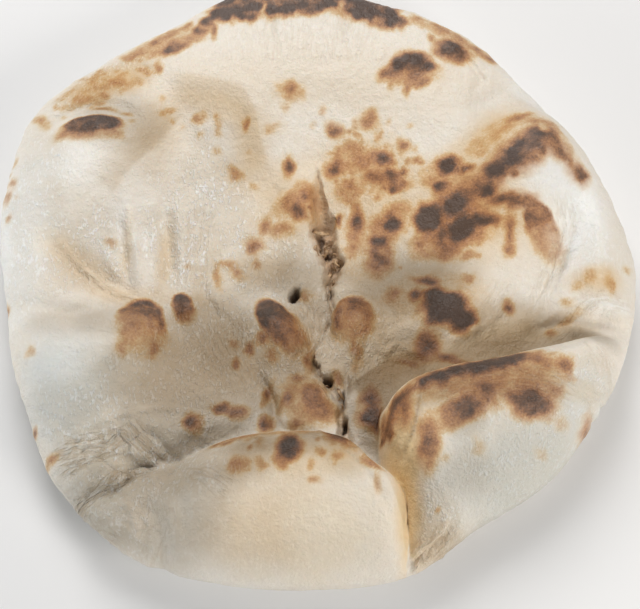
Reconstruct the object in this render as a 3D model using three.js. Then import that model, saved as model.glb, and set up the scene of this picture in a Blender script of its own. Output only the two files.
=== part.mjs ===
// A large round naan, puffed up by a hot clay oven and resting on its base.
// The bread is one solid. It has a low middle, a raised rim and two fat pillows
// at the front, and its top skin is torn open from the middle to those pillows.
//
// Millimetres, +Z up, +Y towards the back. The origin is under the middle of
// the bread, on the surface that it rests on.

import * as THREE from "three";

// ---------------------------------------------------------------- driving sizes

const SEGMENTS = 104; // faces round the bread
const RINGS = 46; // rows of faces from the top's centre to the base's centre
const TOP_SHARE = 0.74; // share of those rows that lie on the top
const TOP_CROWDING = 0.7; // 0 spaces the top's rows evenly, 1 crowds them to the edge
const UNDER_CROWDING = 2; // 1 spaces the underside's rows evenly, more crowds them

const FLOOR = 10; // thickness at the low middle
const EDGE_HEIGHT = 13.5; // height of the widest line, where top meets underside
const BASE_LIFT = 6; // how far the underside has risen just inside the edge
const BASE_FLAT = 0.62; // share of the radius over which the base is flat
const BASE_ROUND = 9; // rounding between the underside and the edge
const DIP_START = 0.1; // share of the radius where the top begins to rise
const DIP_END = 0.86; // share of the radius where it reaches the rim's crest

// The outline's radius, every 15 degrees from +X and counter-clockwise.
const OUTLINE = [
  124.8, 121.3, 118.9, 117.2, 121.3, 123.3, 125.6, 128.4, 123.6, 127.3, 133.0,
  129.2, 123.2, 121.3, 124.2, 129.8, 131.8, 128.2, 125.7, 125.6, 119.5, 122.0,
  122.9, 125.0,
];

// Height of the rim's crest, and the rounding of the rim's outside, every 30
// degrees.
const CREST = [27, 30, 29, 28, 27, 30, 26, 23, 21, 20, 20, 25];
const RIM_ROUND = [18, 17, 12, 10, 14, 21, 16, 20, 24, 26, 26, 23];

// Soft bulges in the top: where, half length and half width, turn in degrees,
// and how far they rise.
const BULGES = [
  { name: "left shoulder", at: [-84, 36], size: [48, 32], turn: 62, rise: 9 },
  { name: "back dome", at: [4, 84], size: [66, 40], turn: 4, rise: 4 },
  { name: "right bubble", at: [86, 40], size: [34, 26], turn: 35, rise: 11 },
  { name: "left cheek", at: [-86, -46], size: [46, 34], turn: 100, rise: 6 },
  { name: "right lip", at: [112, 6], size: [34, 15], turn: 85, rise: 5 },
  { name: "right knob", at: [106, -14], size: [20, 14], turn: 30, rise: 4 },
  { name: "left knob", at: [-100, -8], size: [22, 20], turn: 90, rise: 3 },
  { name: "left flap", at: [-7, 24], size: [24, 14], turn: 62, rise: 6 },
  { name: "lower left flap", at: [-14, -28], size: [22, 15], turn: 125, rise: 6.5 },
  { name: "lower right flap", at: [18, -26], size: [14, 17], turn: 0, rise: 6 },
  { name: "right middle", at: [50, -16], size: [27, 20], turn: -8, rise: 6 },
  { name: "left bubble", at: [-65, -30], size: [14, 15], turn: 0, rise: 4.5 },
  { name: "low middle flap", at: [-4, -56], size: [15, 13], turn: 20, rise: 4 },
  { name: "front left heel", at: [-72, -98], size: [32, 24], turn: 40, rise: 8 },
];
const BULGE_SQUARENESS = 2.3; // 2 is an ellipse, and more is nearer to a box

// Folds: the points that each one passes through, its rise, which is negative for a
// pinch, and its width on its left and on its right.
const FOLDS = [
  {
    name: "front left pinch",
    through: [[-92, -99], [-80, -94], [-69, -90], [-65, -83], [-50, -78], [-30, -70]],
    rise: -7,
    left: 7,
    right: 7,
  },
  {
    name: "left hollow",
    through: [[-106, 12], [-95, 0], [-82, -10], [-66, -15]],
    rise: -5,
    left: 11,
    right: 11,
  },
  {
    name: "shoulder's side",
    through: [[-62, 76], [-56, 62], [-55, 46], [-60, 30]],
    rise: -3,
    left: 12,
    right: 12,
  },
  {
    name: "shoulder's valley",
    through: [[-108, 54], [-98, 61], [-88, 64], [-76, 62], [-69, 54]],
    rise: -3,
    left: 5,
    right: 5,
  },
  {
    name: "back dome's lip",
    through: [[-60, 82], [-44, 79], [-30, 75], [-24, 66], [-21, 54], [-17, 42]],
    rise: 4,
    left: 18,
    right: 5,
  },
  {
    name: "left ridge",
    through: [[-76, 26], [-70, 9], [-67, -11]],
    rise: 2.5,
    left: 4,
    right: 6,
  },
  {
    name: "left furrow",
    through: [[-60, 28], [-59, 13], [-57, 1], [-55, -10]],
    rise: -3,
    left: 5,
    right: 4,
  },
  {
    name: "cheek's top",
    through: [[-110, -19], [-98, -23], [-88, -23], [-80, -19], [-70, -17]],
    rise: -3,
    left: 5,
    right: 6,
  },
  {
    name: "behind the bubble",
    through: [[66, 66], [82, 74], [96, 68], [108, 58]],
    rise: -4,
    left: 9,
    right: 9,
  },
  {
    name: "right hollow",
    through: [[96, 30], [101, 20], [102, 10], [98, -2], [90, -12], [84, -22]],
    rise: -5,
    left: 7,
    right: 7,
  },
  {
    name: "right fold",
    through: [[84, -30], [97, -25], [110, -26], [122, -30]],
    rise: -6,
    left: 6,
    right: 6,
  },
  {
    name: "lower left fold",
    through: [[-23, -41], [-18, -49], [-15, -58], [-15, -66]],
    rise: -4,
    left: 4,
    right: 4,
  },
  {
    name: "between the pillows",
    through: [[13, -69], [22, -78], [30, -88]],
    rise: -4,
    left: 7,
    right: 7,
  },
];
const LINE_STEPS = 6; // straight steps for each span of a smooth line
const FOLD_FADE = 0.07; // share of a fold's length over which it runs out

// The tear: its line, and its depth and half width at even steps along it.
const TEAR = {
  through: [[1, 42], [4, 17], [8, 4], [6, -9], [4, -21], [6, -42], [11.5, -53], [13, -69]],
  depth: [1, 7, 6, 4, 3, 4, 6, 4],
  width: [2, 6, 5, 3, 2.5, 3, 4, 4],
};

// The two pillows at the front. Each has its own outline, as distances from its
// own middle every 15 degrees, and a rounding of its edge every 30 degrees.
// Its top stands at its height in its middle and slopes from there along X and Y,
// and its crest leans over the middle of the bread.
const PILLOWS = [
  {
    name: "front left pillow",
    middle: [-14, -118],
    outline: [
      48, 50, 53.5, 51.5, 52.5, 51.2, 50.3, 51, 52.5, 54, 57, 60,
      61, 58.7, 54, 47.6, 41, 39.6, 40, 40.9, 42, 46, 51, 50,
    ],
    rounding: [12, 12, 15, 18, 20, 23, 28, 30, 30, 30, 26, 16],
    height: 37,
    slope: [0.14, 0],
    towards: 88,
  },
  {
    name: "front right pillow",
    middle: [90, -95],
    outline: [
      95, 95, 94, 80, 73, 67, 60, 58, 59.5, 66, 73, 69,
      62, 62, 62, 68, 76, 85, 93, 94, 95, 95, 95, 95,
    ],
    rounding: [40, 36, 22, 17, 16, 18, 28, 32, 36, 40, 40, 40],
    height: 40,
    slope: [-0.05, 0.06],
    towards: 112,
  },
];
const PILLOW_FOOT = 6; // height at which a pillow's edge starts
const PILLOW_BLEND = 7; // height over which a pillow melts into its surroundings
const LEAN = 7; // how far the crest leans over
const LEAN_RISE = 30; // height above the surroundings at which it leans by that
const LEAN_POWER = 1.3; // the higher, the more the lean keeps to the crest

const RELAX_ROUNDS = 2; // how often the points are evened out
const RELAX_SHARE = 0.5; // how far each moves towards its neighbours' middle

// ---------------------------------------------------------------------- helpers

const { clamp, degToRad, smoothstep } = THREE.MathUtils;

// The value at an angle, on a smooth closed curve through evenly spaced stations.
function around(stations, turn) {
  const count = stations.length;
  const place = (turn / (2 * Math.PI) + 1) * count;
  const before = Math.floor(place);
  const f = place - before;
  const [a, b, c, d] = [-1, 0, 1, 2].map((k) => stations[(before + k) % count]);
  const bend = (2 * a - 5 * b + 4 * c - d) * f + (3 * b - a - 3 * c + d) * f * f;
  return b + 0.5 * f * (c - a + bend);
}

// The value at a share of the way along a list of evenly spaced values.
function lengthwise(values, share) {
  const place = clamp(share, 0, 1) * (values.length - 1);
  const before = Math.min(Math.floor(place), values.length - 2);
  return THREE.MathUtils.lerp(values[before], values[before + 1], place - before);
}

// The larger of two heights, with the corner between them filled in.
function melt(a, b, soft) {
  const near = Math.max(soft - Math.abs(a - b), 0) / soft;
  return Math.max(a, b) + (near * near * soft) / 4;
}

// A quarter circle's rise: 0 at the edge and 1 from the given distance inwards.
function roundOff(distance, radius) {
  const share = clamp(distance / radius, 0, 1);
  return Math.sqrt(1 - (1 - share) ** 2);
}

// How far a point lies out from the middle of a turned, rounded oblong: 1 at its
// edge.
function reach(x, y, { at, size, turn }) {
  const [dx, dy] = [x - at[0], y - at[1]];
  const [cos, sin] = [Math.cos(degToRad(turn)), Math.sin(degToRad(turn))];
  const u = (dx * cos + dy * sin) / size[0];
  const v = (dy * cos - dx * sin) / size[1];
  const power = BULGE_SQUARENESS;
  return (Math.abs(u) ** power + Math.abs(v) ** power) ** (1 / power);
}

// The points of a smooth line through the given ones, each with its share of the
// line's length.
function smoothLine(through) {
  const points = through.map(([x, y]) => new THREE.Vector3(x, y, 0));
  const curve = new THREE.CatmullRomCurve3(points, false, "catmullrom", 0.5);
  const line = curve.getPoints((through.length - 1) * LINE_STEPS);
  let length = 0;
  const lengths = line.map((p, i) => (length += i ? p.distanceTo(line[i - 1]) : 0));
  return line.map((p, i) => ({ x: p.x, y: p.y, share: lengths[i] / length }));
}

// The distance from a point to such a line, the side it lies on, and the share of
// the way along it.
function nearest(x, y, line) {
  let best = { distance: Infinity };
  for (let i = 1; i < line.length; i++) {
    const [a, b] = [line[i - 1], line[i]];
    const [dx, dy] = [b.x - a.x, b.y - a.y];
    const t = clamp(((x - a.x) * dx + (y - a.y) * dy) / (dx * dx + dy * dy), 0, 1);
    const [awayX, awayY] = [x - a.x - t * dx, y - a.y - t * dy];
    const distance = Math.hypot(awayX, awayY);
    if (distance >= best.distance) continue;
    const share = a.share + t * (b.share - a.share);
    best = { distance, share, onLeft: dx * awayY > dy * awayX };
  }
  return best;
}

// --------------------------------------------------------------------- the form

const foldLines = FOLDS.map((fold) => smoothLine(fold.through));
const tearLine = smoothLine(TEAR.through);

function bulgeHeight(x, y) {
  let height = 0;
  for (const bulge of BULGES) {
    const out = Math.min(reach(x, y, bulge), 1);
    height += bulge.rise * (1 - out ** 2) ** 2;
  }
  return height;
}

function foldHeight(x, y) {
  let height = 0;
  FOLDS.forEach((fold, i) => {
    const { distance, share, onLeft } = nearest(x, y, foldLines[i]);
    const width = onLeft ? fold.left : fold.right;
    const along = Math.sin(Math.PI * THREE.MathUtils.lerp(FOLD_FADE, 1 - FOLD_FADE, share));
    height += fold.rise * along ** 0.6 * Math.exp(-2.2 * (distance / width) ** 2);
  });
  return height;
}

function tearDepth(x, y) {
  const { distance, share } = nearest(x, y, tearLine);
  const width = lengthwise(TEAR.width, share);
  return lengthwise(TEAR.depth, share) * Math.exp(-(((1.6 * distance) / width) ** 2));
}

// Adds the pillows to a height, and gives the sideways lean of their crests.
function addPillows(x, y, height) {
  const lean = new THREE.Vector2();
  for (const pillow of PILLOWS) {
    const [dx, dy] = [x - pillow.middle[0], y - pillow.middle[1]];
    const turn = Math.atan2(dy, dx);
    const inside = around(pillow.outline, turn) - Math.hypot(dx, dy);
    if (inside <= 0) continue;
    const full = pillow.height + pillow.slope[0] * dx + pillow.slope[1] * dy;
    const edge = roundOff(inside, around(pillow.rounding, turn));
    const top = PILLOW_FOOT + (full - PILLOW_FOOT) * edge;
    const rise = clamp((top - height) / LEAN_RISE, 0, 1);
    const leanBy = LEAN * rise ** LEAN_POWER;
    lean.x += leanBy * Math.cos(degToRad(pillow.towards));
    lean.y += leanBy * Math.sin(degToRad(pillow.towards));
    height = melt(height, top, PILLOW_BLEND);
  }
  return { height, lean };
}

// A point of the top: share is 0 at the centre and 1 at the edge.
function topPoint(share, turn) {
  const radius = around(OUTLINE, turn);
  const x = share * radius * Math.cos(turn);
  const y = share * radius * Math.sin(turn);
  const dish = (around(CREST, turn) - FLOOR) * smoothstep(share, DIP_START, DIP_END);
  const skin = FLOOR + dish + bulgeHeight(x, y) + foldHeight(x, y);
  const { height, lean } = addPillows(x, y, skin);
  const edge = roundOff((1 - share) * radius, around(RIM_ROUND, turn));
  const z = EDGE_HEIGHT + (height - tearDepth(x, y) - EDGE_HEIGHT) * edge;
  return [x + lean.x * edge, y + lean.y * edge, z];
}

// A point of the underside, which is flat in the middle and lifts to the edge.
function underPoint(share, turn) {
  const radius = around(OUTLINE, turn);
  const lift = BASE_LIFT * smoothstep(share, BASE_FLAT, 1);
  const edge = roundOff((1 - share) * radius, BASE_ROUND);
  const z = EDGE_HEIGHT + (lift - EDGE_HEIGHT) * edge;
  return [share * radius * Math.cos(turn), share * radius * Math.sin(turn), z];
}

// Moves the top's rows towards its edge, where the skin turns fastest.
function crowdedTop(row) {
  return THREE.MathUtils.lerp(row, Math.sin((row * Math.PI) / 2), TOP_CROWDING);
}

// A point of the skin, from its row on the ball, 0 at the top and 1 underneath.
function skinPoint(row, turn) {
  const point =
    row <= TOP_SHARE
      ? topPoint(crowdedTop(row / TOP_SHARE), turn)
      : underPoint(1 - ((row - TOP_SHARE) / (1 - TOP_SHARE)) ** UNDER_CROWDING, turn);
  return new THREE.Vector3(...point);
}

// Evens out rings of points: each point moves towards the middle of its four
// neighbours, which takes the ragged feet off the steep sides.
function relaxed(rings) {
  return rings.map((ring, i) => {
    if (i === 0 || i === rings.length - 1) return ring;
    return ring.map((point, j) => {
      const around = [
        rings[i - 1][j],
        rings[i + 1][j],
        ring[(j + 1) % SEGMENTS],
        ring[(j + SEGMENTS - 1) % SEGMENTS],
      ];
      const middle = new THREE.Vector3();
      around.forEach((neighbour) => middle.addScaledVector(neighbour, 1 / around.length));
      return point.clone().lerp(middle, RELAX_SHARE);
    });
  });
}

// A ball of dough, pressed flat: each row of the ball becomes a ring of the top
// or of the underside.
function breadGeometry() {
  let rings = [];
  for (let i = 0; i <= RINGS; i++) {
    rings[i] = [];
    for (let j = 0; j < SEGMENTS; j++)
      rings[i][j] = skinPoint(i / RINGS, (2 * Math.PI * j) / SEGMENTS);
  }
  for (let round = 0; round < RELAX_ROUNDS; round++) rings = relaxed(rings);

  const ball = new THREE.SphereGeometry(1, SEGMENTS, RINGS).rotateX(Math.PI / 2);
  const position = ball.getAttribute("position");
  for (let k = 0; k < position.count; k++) {
    const i = Math.round((Math.acos(clamp(position.getZ(k), -1, 1)) / Math.PI) * RINGS);
    const turn = Math.atan2(position.getY(k), position.getX(k)) / (2 * Math.PI);
    const j = Math.round((turn + 1) * SEGMENTS) % SEGMENTS;
    position.setXYZ(k, ...rings[i][j].toArray());
  }
  ball.computeBoundingBox();
  const middle = ball.boundingBox.getCenter(new THREE.Vector3());
  ball.translate(-middle.x, -middle.y, -ball.boundingBox.min.z);
  ball.computeVertexNormals();
  return ball;
}

// --------------------------------------------------------------------- the part

const crust = new THREE.MeshStandardMaterial({
  color: 0xe3d3b4,
  roughness: 0.7,
  metalness: 0,
});

const naan = new THREE.Mesh(breadGeometry(), crust);
naan.name = "naan";

const part = new THREE.Group();
part.add(naan);

export default part;
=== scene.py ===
# %% [markdown]
# # A puffed naan, from its form to its finish
#
# Naan is slapped on the wall of a hot clay oven. Steam blows its skin up into
# domes and pillows, and whatever stands nearest to the fire is scorched. This
# lesson builds one large round naan. First comes the form, as one height for
# each place on the bread, then the small relief of its skin, then the marks of
# the fire, and last the material, the light and the camera.

import math

import bpy
import numpy as np
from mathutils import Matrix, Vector


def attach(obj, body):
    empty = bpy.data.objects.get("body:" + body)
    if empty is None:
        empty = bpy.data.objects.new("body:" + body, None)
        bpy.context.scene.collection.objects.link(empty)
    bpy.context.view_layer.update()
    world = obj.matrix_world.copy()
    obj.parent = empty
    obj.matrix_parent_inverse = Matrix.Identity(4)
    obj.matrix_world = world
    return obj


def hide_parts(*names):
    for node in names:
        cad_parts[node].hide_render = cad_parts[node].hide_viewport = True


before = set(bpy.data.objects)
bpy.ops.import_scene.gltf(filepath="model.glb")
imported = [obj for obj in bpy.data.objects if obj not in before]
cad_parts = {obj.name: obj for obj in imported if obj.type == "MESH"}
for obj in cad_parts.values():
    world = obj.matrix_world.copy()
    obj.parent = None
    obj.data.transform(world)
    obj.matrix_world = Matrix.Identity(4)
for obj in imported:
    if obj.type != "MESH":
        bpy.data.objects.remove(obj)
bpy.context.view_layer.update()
print("nodes:", sorted(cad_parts))

# %% [markdown]
# The bread is measured in millimetres, as a baker would, and turned to metres
# only where a mesh, a finish or the camera is made. Two small tools come first:
# `smoothstep` is a soft step, and `around` reads a value off a smooth closed
# curve, so that a rim needs only a handful of sizes.

# %% Tools for smooth curves
MM = 0.001


def smoothstep(low, high, value):
    """0 below low, 1 above high, and an S-shaped climb between them."""
    share = np.clip((value - low) / (high - low), 0, 1)
    return share * share * (3 - 2 * share)


def between(a, b, c, d, f):
    """A share f of the way from b to c, on a smooth curve from a to d."""
    bend = (2 * a - 5 * b + 4 * c - d) * f + (3 * b - a - 3 * c + d) * f * f
    return b + 0.5 * f * (c - a + bend)


def around(stations, turn):
    """The value at an angle, on a smooth closed curve through even stations."""
    stations = np.asarray(stations, float)
    count = len(stations)
    place = (turn / math.tau) % 1 * count
    before = np.floor(place).astype(int)
    a, b, c, d = (stations[(before + k) % count] for k in (-1, 0, 1, 2))
    return between(a, b, c, d, place - before)


print("a rim of four sizes, between two of them:", around([0, 1, 0, 1], math.pi / 4))

# %% [markdown]
# Dough is never even. Every small unevenness of the mesh comes from one source
# of random hills, which has a size in millimetres. It is seeded, so that the
# bread comes out the same each time.

# %% Random hills
SEED = 11
TABLE = 256
LAYER_STEP = 31.7
HILL_GAIN = 1.7
rng = np.random.default_rng(SEED)
SHUFFLE = rng.permutation(TABLE)
SLOPES = rng.normal(size=(TABLE, 3))
SLOPES /= np.linalg.norm(SLOPES, axis=1)[:, None]


def hills(points, size, layer=0):
    """Smooth random hills, about -1 to 1, that are `size` millimetres apart."""
    place = points / size + LAYER_STEP * layer
    cell = np.floor(place).astype(int)
    f = place - cell
    ease = f**3 * (f * (f * 6 - 15) + 10)
    total = np.zeros(len(points))
    for corner in np.ndindex(2, 2, 2):
        at = (cell + corner) % TABLE
        pick = (SHUFFLE[at[:, 0]] + at[:, 1]) % TABLE
        pick = SHUFFLE[(SHUFFLE[pick] + at[:, 2]) % TABLE]
        weight = np.prod(np.where(corner, ease, 1 - ease), axis=1)
        total += weight * np.sum(SLOPES[pick] * (f - corner), axis=1)
    return HILL_GAIN * total


def wrinkles(points, size, layer=0, thin=3.0):
    """Narrow raised lines that wander and close on themselves, from 0 to 1."""
    return np.clip(1 - thin * np.abs(hills(points, size, layer)), 0, 1) ** 1.5


print("hills range over", np.round(np.ptp(hills(rng.uniform(0, 200, (4000, 3)), 9.0)), 2))

# %% [markdown]
# ## The large form
#
# Seen from above the bread is a lopsided disc, so its outline is a radius for
# every 15 degrees, from the right side and counter-clockwise. The rim has a
# crest with its own height and rounding, for every 30 degrees. Between the
# middle and the crest the skin rises in one long S. These sizes, the bulges and
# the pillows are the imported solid's own, so that both keep one shape.

# %% Sizes of the dish and its rim
FLOOR = 10
EDGE_HEIGHT = 13.5
BASE_LIFT, BASE_FLAT, BASE_ROUND = 6, 0.62, 9
DIP_START, DIP_END = 0.1, 0.86

OUTLINE = [
    124.8, 121.3, 118.9, 117.2, 121.3, 123.3, 125.6, 128.4, 123.6, 127.3, 133.0, 129.2,
    123.2, 121.3, 124.2, 129.8, 131.8, 128.2, 125.7, 125.6, 119.5, 122.0, 122.9, 125.0,
]
CREST = [27, 30, 29, 28, 27, 30, 26, 23, 21, 20, 20, 25]
RIM_ROUND = [18, 17, 12, 10, 14, 21, 16, 20, 24, 26, 26, 23]

turns = np.linspace(0, math.tau, 720, endpoint=False)
edge_x = around(OUTLINE, turns) * np.cos(turns)
edge_y = around(OUTLINE, turns) * np.sin(turns)
MIDDLE = Vector(((edge_x.max() + edge_x.min()) / 2, (edge_y.max() + edge_y.min()) / 2, 0))
print("width and depth in mm:", round(np.ptp(edge_x), 1), round(np.ptp(edge_y), 1))

# %% [markdown]
# Where steam lifted the skin, broad bulges stand on the dish. They could be
# pulled up with a sculpting brush. Here each one is a row of numbers, an oval and
# a rise, which can be changed later without touching its neighbours.

# %% Broad bulges
# Where each one stands, its half length and half width, its turn and its rise.
BULGES = {
    "left shoulder": ((-84, 36), (48, 32), 62, 9),
    "back dome": ((4, 84), (66, 40), 4, 4),
    "right bubble": ((86, 40), (34, 26), 35, 11),
    "left cheek": ((-86, -46), (46, 34), 100, 6),
    "right lip": ((112, 6), (34, 15), 85, 5),
    "right knob": ((106, -14), (20, 14), 30, 4),
    "left knob": ((-100, -8), (22, 20), 90, 3),
    "left flap": ((-7, 24), (24, 14), 62, 6),
    "lower left flap": ((-14, -28), (22, 15), 125, 6.5),
    "lower right flap": ((18, -26), (14, 17), 0, 6),
    "right middle": ((50, -16), (27, 20), -8, 6),
    "left bubble": ((-65, -30), (14, 15), 0, 4.5),
    "low middle flap": ((-4, -56), (15, 13), 20, 4),
    "front left heel": ((-72, -98), (32, 24), 40, 8),
}
BULGE_SQUARENESS = 2.3


def reach(x, y, at, size, turn, squareness=2.0):
    """How far out a place lies in a turned oval: 0 in its middle, 1 at its edge."""
    cos, sin = math.cos(math.radians(turn)), math.sin(math.radians(turn))
    u = ((x - at[0]) * cos + (y - at[1]) * sin) / size[0]
    v = ((y - at[1]) * cos - (x - at[0]) * sin) / size[1]
    return (np.abs(u) ** squareness + np.abs(v) ** squareness) ** (1 / squareness)


def bulge_height(x, y):
    height = np.zeros(np.shape(x))
    for at, size, turn, rise in BULGES.values():
        out = np.clip(reach(x, y, at, size, turn, BULGE_SQUARENESS), 0, 1)
        height += rise * (1 - out**2) ** 2
    return height


print(len(BULGES), "bulges, the highest", max(b[3] for b in BULGES.values()), "mm")

# %% [markdown]
# Folds, the tear and scorched lines all follow curves over the bread. Blender has
# curve objects, but here every place must know how it lies to a curve. So
# `smooth_line` bends a line through a few points, and `beside` tells how far each
# place lies from it, on which side, and how far along.

# %% Lines over the bread
def smooth_line(through, steps=6):
    """Points along a smooth curve that passes through the given ones."""
    p = np.asarray(through, float)
    p = np.concatenate([[2 * p[0] - p[1]], p, [2 * p[-1] - p[-2]]])
    line = []
    for a, b, c, d in zip(p, p[1:], p[2:], p[3:]):
        line += [between(a, b, c, d, f) for f in np.linspace(0, 1, steps, endpoint=False)]
    return np.array([*line, p[-2]])


def near_line(x, y, line, margin):
    """True in the box round a line, grown by a margin."""
    low, high = line.min(axis=0) - margin, line.max(axis=0) + margin
    return (x > low[0]) & (x < high[0]) & (y > low[1]) & (y < high[1])


def beside(x, y, line):
    """Distance to a line, positive on its left, and the share of the way along."""
    spans = np.diff(line, axis=0)
    lengths = np.hypot(*spans.T)
    starts = np.concatenate([[0], np.cumsum(lengths)])
    best = np.full(np.shape(x), np.inf)
    side = np.ones(np.shape(x))
    along = np.zeros(np.shape(x))
    for (px, py), (dx, dy), length, start in zip(line, spans, lengths, starts):
        share = np.clip(((x - px) * dx + (y - py) * dy) / length**2, 0, 1)
        away_x, away_y = x - px - share * dx, y - py - share * dy
        distance = np.hypot(away_x, away_y)
        nearer = distance < best
        best = np.where(nearer, distance, best)
        side = np.where(nearer, np.where(dx * away_y > dy * away_x, 1, -1), side)
        along = np.where(nearer, (start + share * length) / starts[-1], along)
    return best * side, along


bow = smooth_line([(0, 0), (10, 10), (20, 0)])
print("middle of a bow:", beside(np.array([10.0]), np.array([8.0]), bow))

# %% [markdown]
# A fold in baked dough isn't a plain groove. One side often stands up and the
# other drops away, so each fold has a line, a rise, which is negative for a
# pinch, and a width for each side of the line. Folds run out softly at both
# ends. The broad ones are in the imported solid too, and the fine ribs and creases
# are only in this mesh.

# %% Folds
# The points that each fold passes through, its rise, and its left and right width.
FOLDS = {
    "front left pinch": (
        [(-92, -99), (-80, -94), (-69, -90), (-65, -83), (-50, -78), (-30, -70)], -7, 7, 7),
    "left hollow": ([(-106, 12), (-95, 0), (-82, -10), (-66, -15)], -5, 11, 11),
    "shoulder's side": ([(-62, 76), (-56, 62), (-55, 46), (-60, 30)], -3, 12, 12),
    "behind the bubble": ([(66, 66), (82, 74), (96, 68), (108, 58)], -4, 9, 9),
    "right hollow": ([(96, 30), (101, 20), (102, 10), (98, -2), (90, -12), (84, -22)], -3, 8, 9),
    "right fold": ([(84, -30), (97, -25), (110, -26), (122, -30)], -6, 6, 6),
    "lower left fold": ([(-23, -41), (-18, -49), (-15, -58), (-15, -66)], -4, 4, 4),
    "between the pillows": ([(13, -69), (22, -78), (30, -88)], -4, 7, 7),
    "back dome's lip": (
        [(-60, 82), (-44, 79), (-30, 75), (-24, 66), (-21, 54), (-17, 42)], 2.6, 18, 9),
    "shoulder's valley": ([(-108, 54), (-98, 61), (-88, 64), (-76, 62), (-69, 54)], -3, 5, 5),
    "left ridge": ([(-76, 26), (-70, 9), (-67, -11)], 2.5, 4, 6),
    "left furrow": ([(-60, 28), (-59, 13), (-57, 1), (-55, -10)], -3, 5, 4),
    "pleat's valley": ([(-75, 24), (-75, 13), (-73, 2), (-72, -7)], -2.0, 2.2, 4),
    "pleat's crest": ([(-71, 22), (-70, 12), (-69, 2), (-68, -8)], 1.4, 2, 2.5),
    "furrow's shore": ([(-65, 22), (-63, 12), (-60, 4), (-56, -4)], 1.2, 1.3, 3),
    "second pleat": ([(-54, 26), (-52.5, 12), (-52.5, 0), (-55, -9)], 1.2, 2, 3.5),
    "third pleat": ([(-84, 14), (-82, 4), (-79, -3), (-75, -8)], 1.2, 3, 1.5),
    "slanting pleat": ([(-101, 8), (-91, -3), (-80, -11), (-68, -16)], 1.4, 2.5, 1.6),
    "left bracket": ([(-36, 10), (-43, -4), (-42, -14), (-34, -24)], -2.2, 4, 3),
    "left flap's edge": (
        [(-16, 29), (-9, 32), (-2, 31), (0.5, 23), (0.5, 14), (2, 6), (5, -5)], 1.8, 1.3, 4),
    "low flap's edge": (
        [(-24, -40), (-18, -46), (-13, -55), (-11, -64), (-2, -66)], 1.4, 3.5, 1.2),
    "big mark's brow": ([(-27, -19), (-21, -12), (-13, -14), (-6, -22), (-3, -30)], 1.3, 1.2, 3),
    "right flap's brow": ([(9, -24), (11, -15), (17, -11), (24, -15), (26, -24)], 1.3, 1.2, 3),
    "cheek's top": ([(-110, -19), (-98, -23), (-88, -23), (-80, -19), (-70, -17)], -3, 5, 6),
    "ring of curled skin": ([(5, -42), (10, -43), (12.5, -48), (11, -54)], 2.2, 1.5, 1.7),
    "curled skin": ([(-11, -13), (-6, -18), (-1, -24)], 1.6, 2, 1.6),
    "bubble's crescent": ([(53, -10), (59, -16), (61, -23), (60, -29), (53, -32)], 1.6, 2.5, 2),
    "lower lip": ([(22, -31), (27, -36), (31, -33), (40, -37)], 1.8, 2, 1.5),
    "inner bracket": ([(93, 24), (95, 14), (94, 5), (90, -4)], -1.6, 3, 3),
    "rim pinch left": ([(-18, 108), (-18, 100), (-16, 93)], -1.5, 3, 3),
    "rim pinch right": ([(12, 112), (12, 103), (11, 94)], -1.8, 3, 3),
    "long wrinkle": ([(59, 91), (64, 84), (69, 76)], -1.4, 1.6, 1.6),
    "short wrinkle": ([(71, 87), (69, 80), (64, 71)], -1.2, 2, 2),
    "wrinkled fan": ([(-70, -76), (-64, -69), (-59, -71), (-55, -74), (-51, -78)], -1.5, 2.5, 2.5),
    "fan's upper rib": ([(-84, -70), (-72, -64), (-60, -60), (-48, -60)], 1.2, 2, 1.4),
    "fan's middle rib": ([(-86, -80), (-74, -77), (-62, -79), (-50, -84)], 1.3, 2, 1.4),
    "fan's lower rib": ([(-96, -92), (-84, -86), (-74, -83), (-66, -86)], 1.2, 2, 1.5),
    "heel's first rib": ([(-88, -102), (-76, -98), (-66, -98), (-58, -104)], 1.1, 1.6, 1.4),
    "heel's second rib": ([(-84, -110), (-74, -105), (-66, -106), (-60, -112)], 1.0, 1.6, 1.4),
    "fan's first crease": ([(-77, -80), (-70, -72), (-62, -67), (-53, -66)], 1.3, 1.2, 1.8),
    "fan's second crease": ([(-84, -89), (-72, -87), (-60, -84)], 1.2, 1.3, 1.3),
    "fan's third crease": ([(-72, -73), (-65, -78), (-56, -80)], 1.1, 1.2, 1.4),
    "fan's fourth crease": ([(-79, -79), (-73, -84), (-65, -86)], -1.2, 1.4, 1.4),
    "fan's fifth crease": ([(-48, -66), (-42, -70), (-36, -70)], 1.0, 1.2, 1.4),
    "fan's sixth crease": ([(-98, -84), (-90, -80), (-82, -72)], 1.0, 1.4, 1.6),
    "cheek's crease": ([(-104, -60), (-94, -66), (-84, -78), (-80, -90)], -1.0, 2.5, 2.5),
    "first flow line": ([(93, 26), (95, 12), (91, -2), (86, -13), (80, -23)], 1.0, 1.4, 1.4),
    "second flow line": ([(97, 24), (99, 12), (95, -2), (90, -14), (84, -23)], 1.0, 1.4, 1.4),
    "third flow line": ([(103, 22), (105, 8), (101, -5), (94, -15)], 0.9, 1.6, 1.6),
    "middle flow line": ([(80, -4), (74, -16), (66, -26), (56, -32)], 0.9, 2, 1.6),
    "right fold's lip": ([(86, -26), (98, -21), (110, -22), (122, -26)], 1.6, 2, 1.5),
}
LINE_FADE, FADE_POWER = 0.07, 0.6
LINE_FALL = 2.2
FOLD_REACH = 1.5


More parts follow.
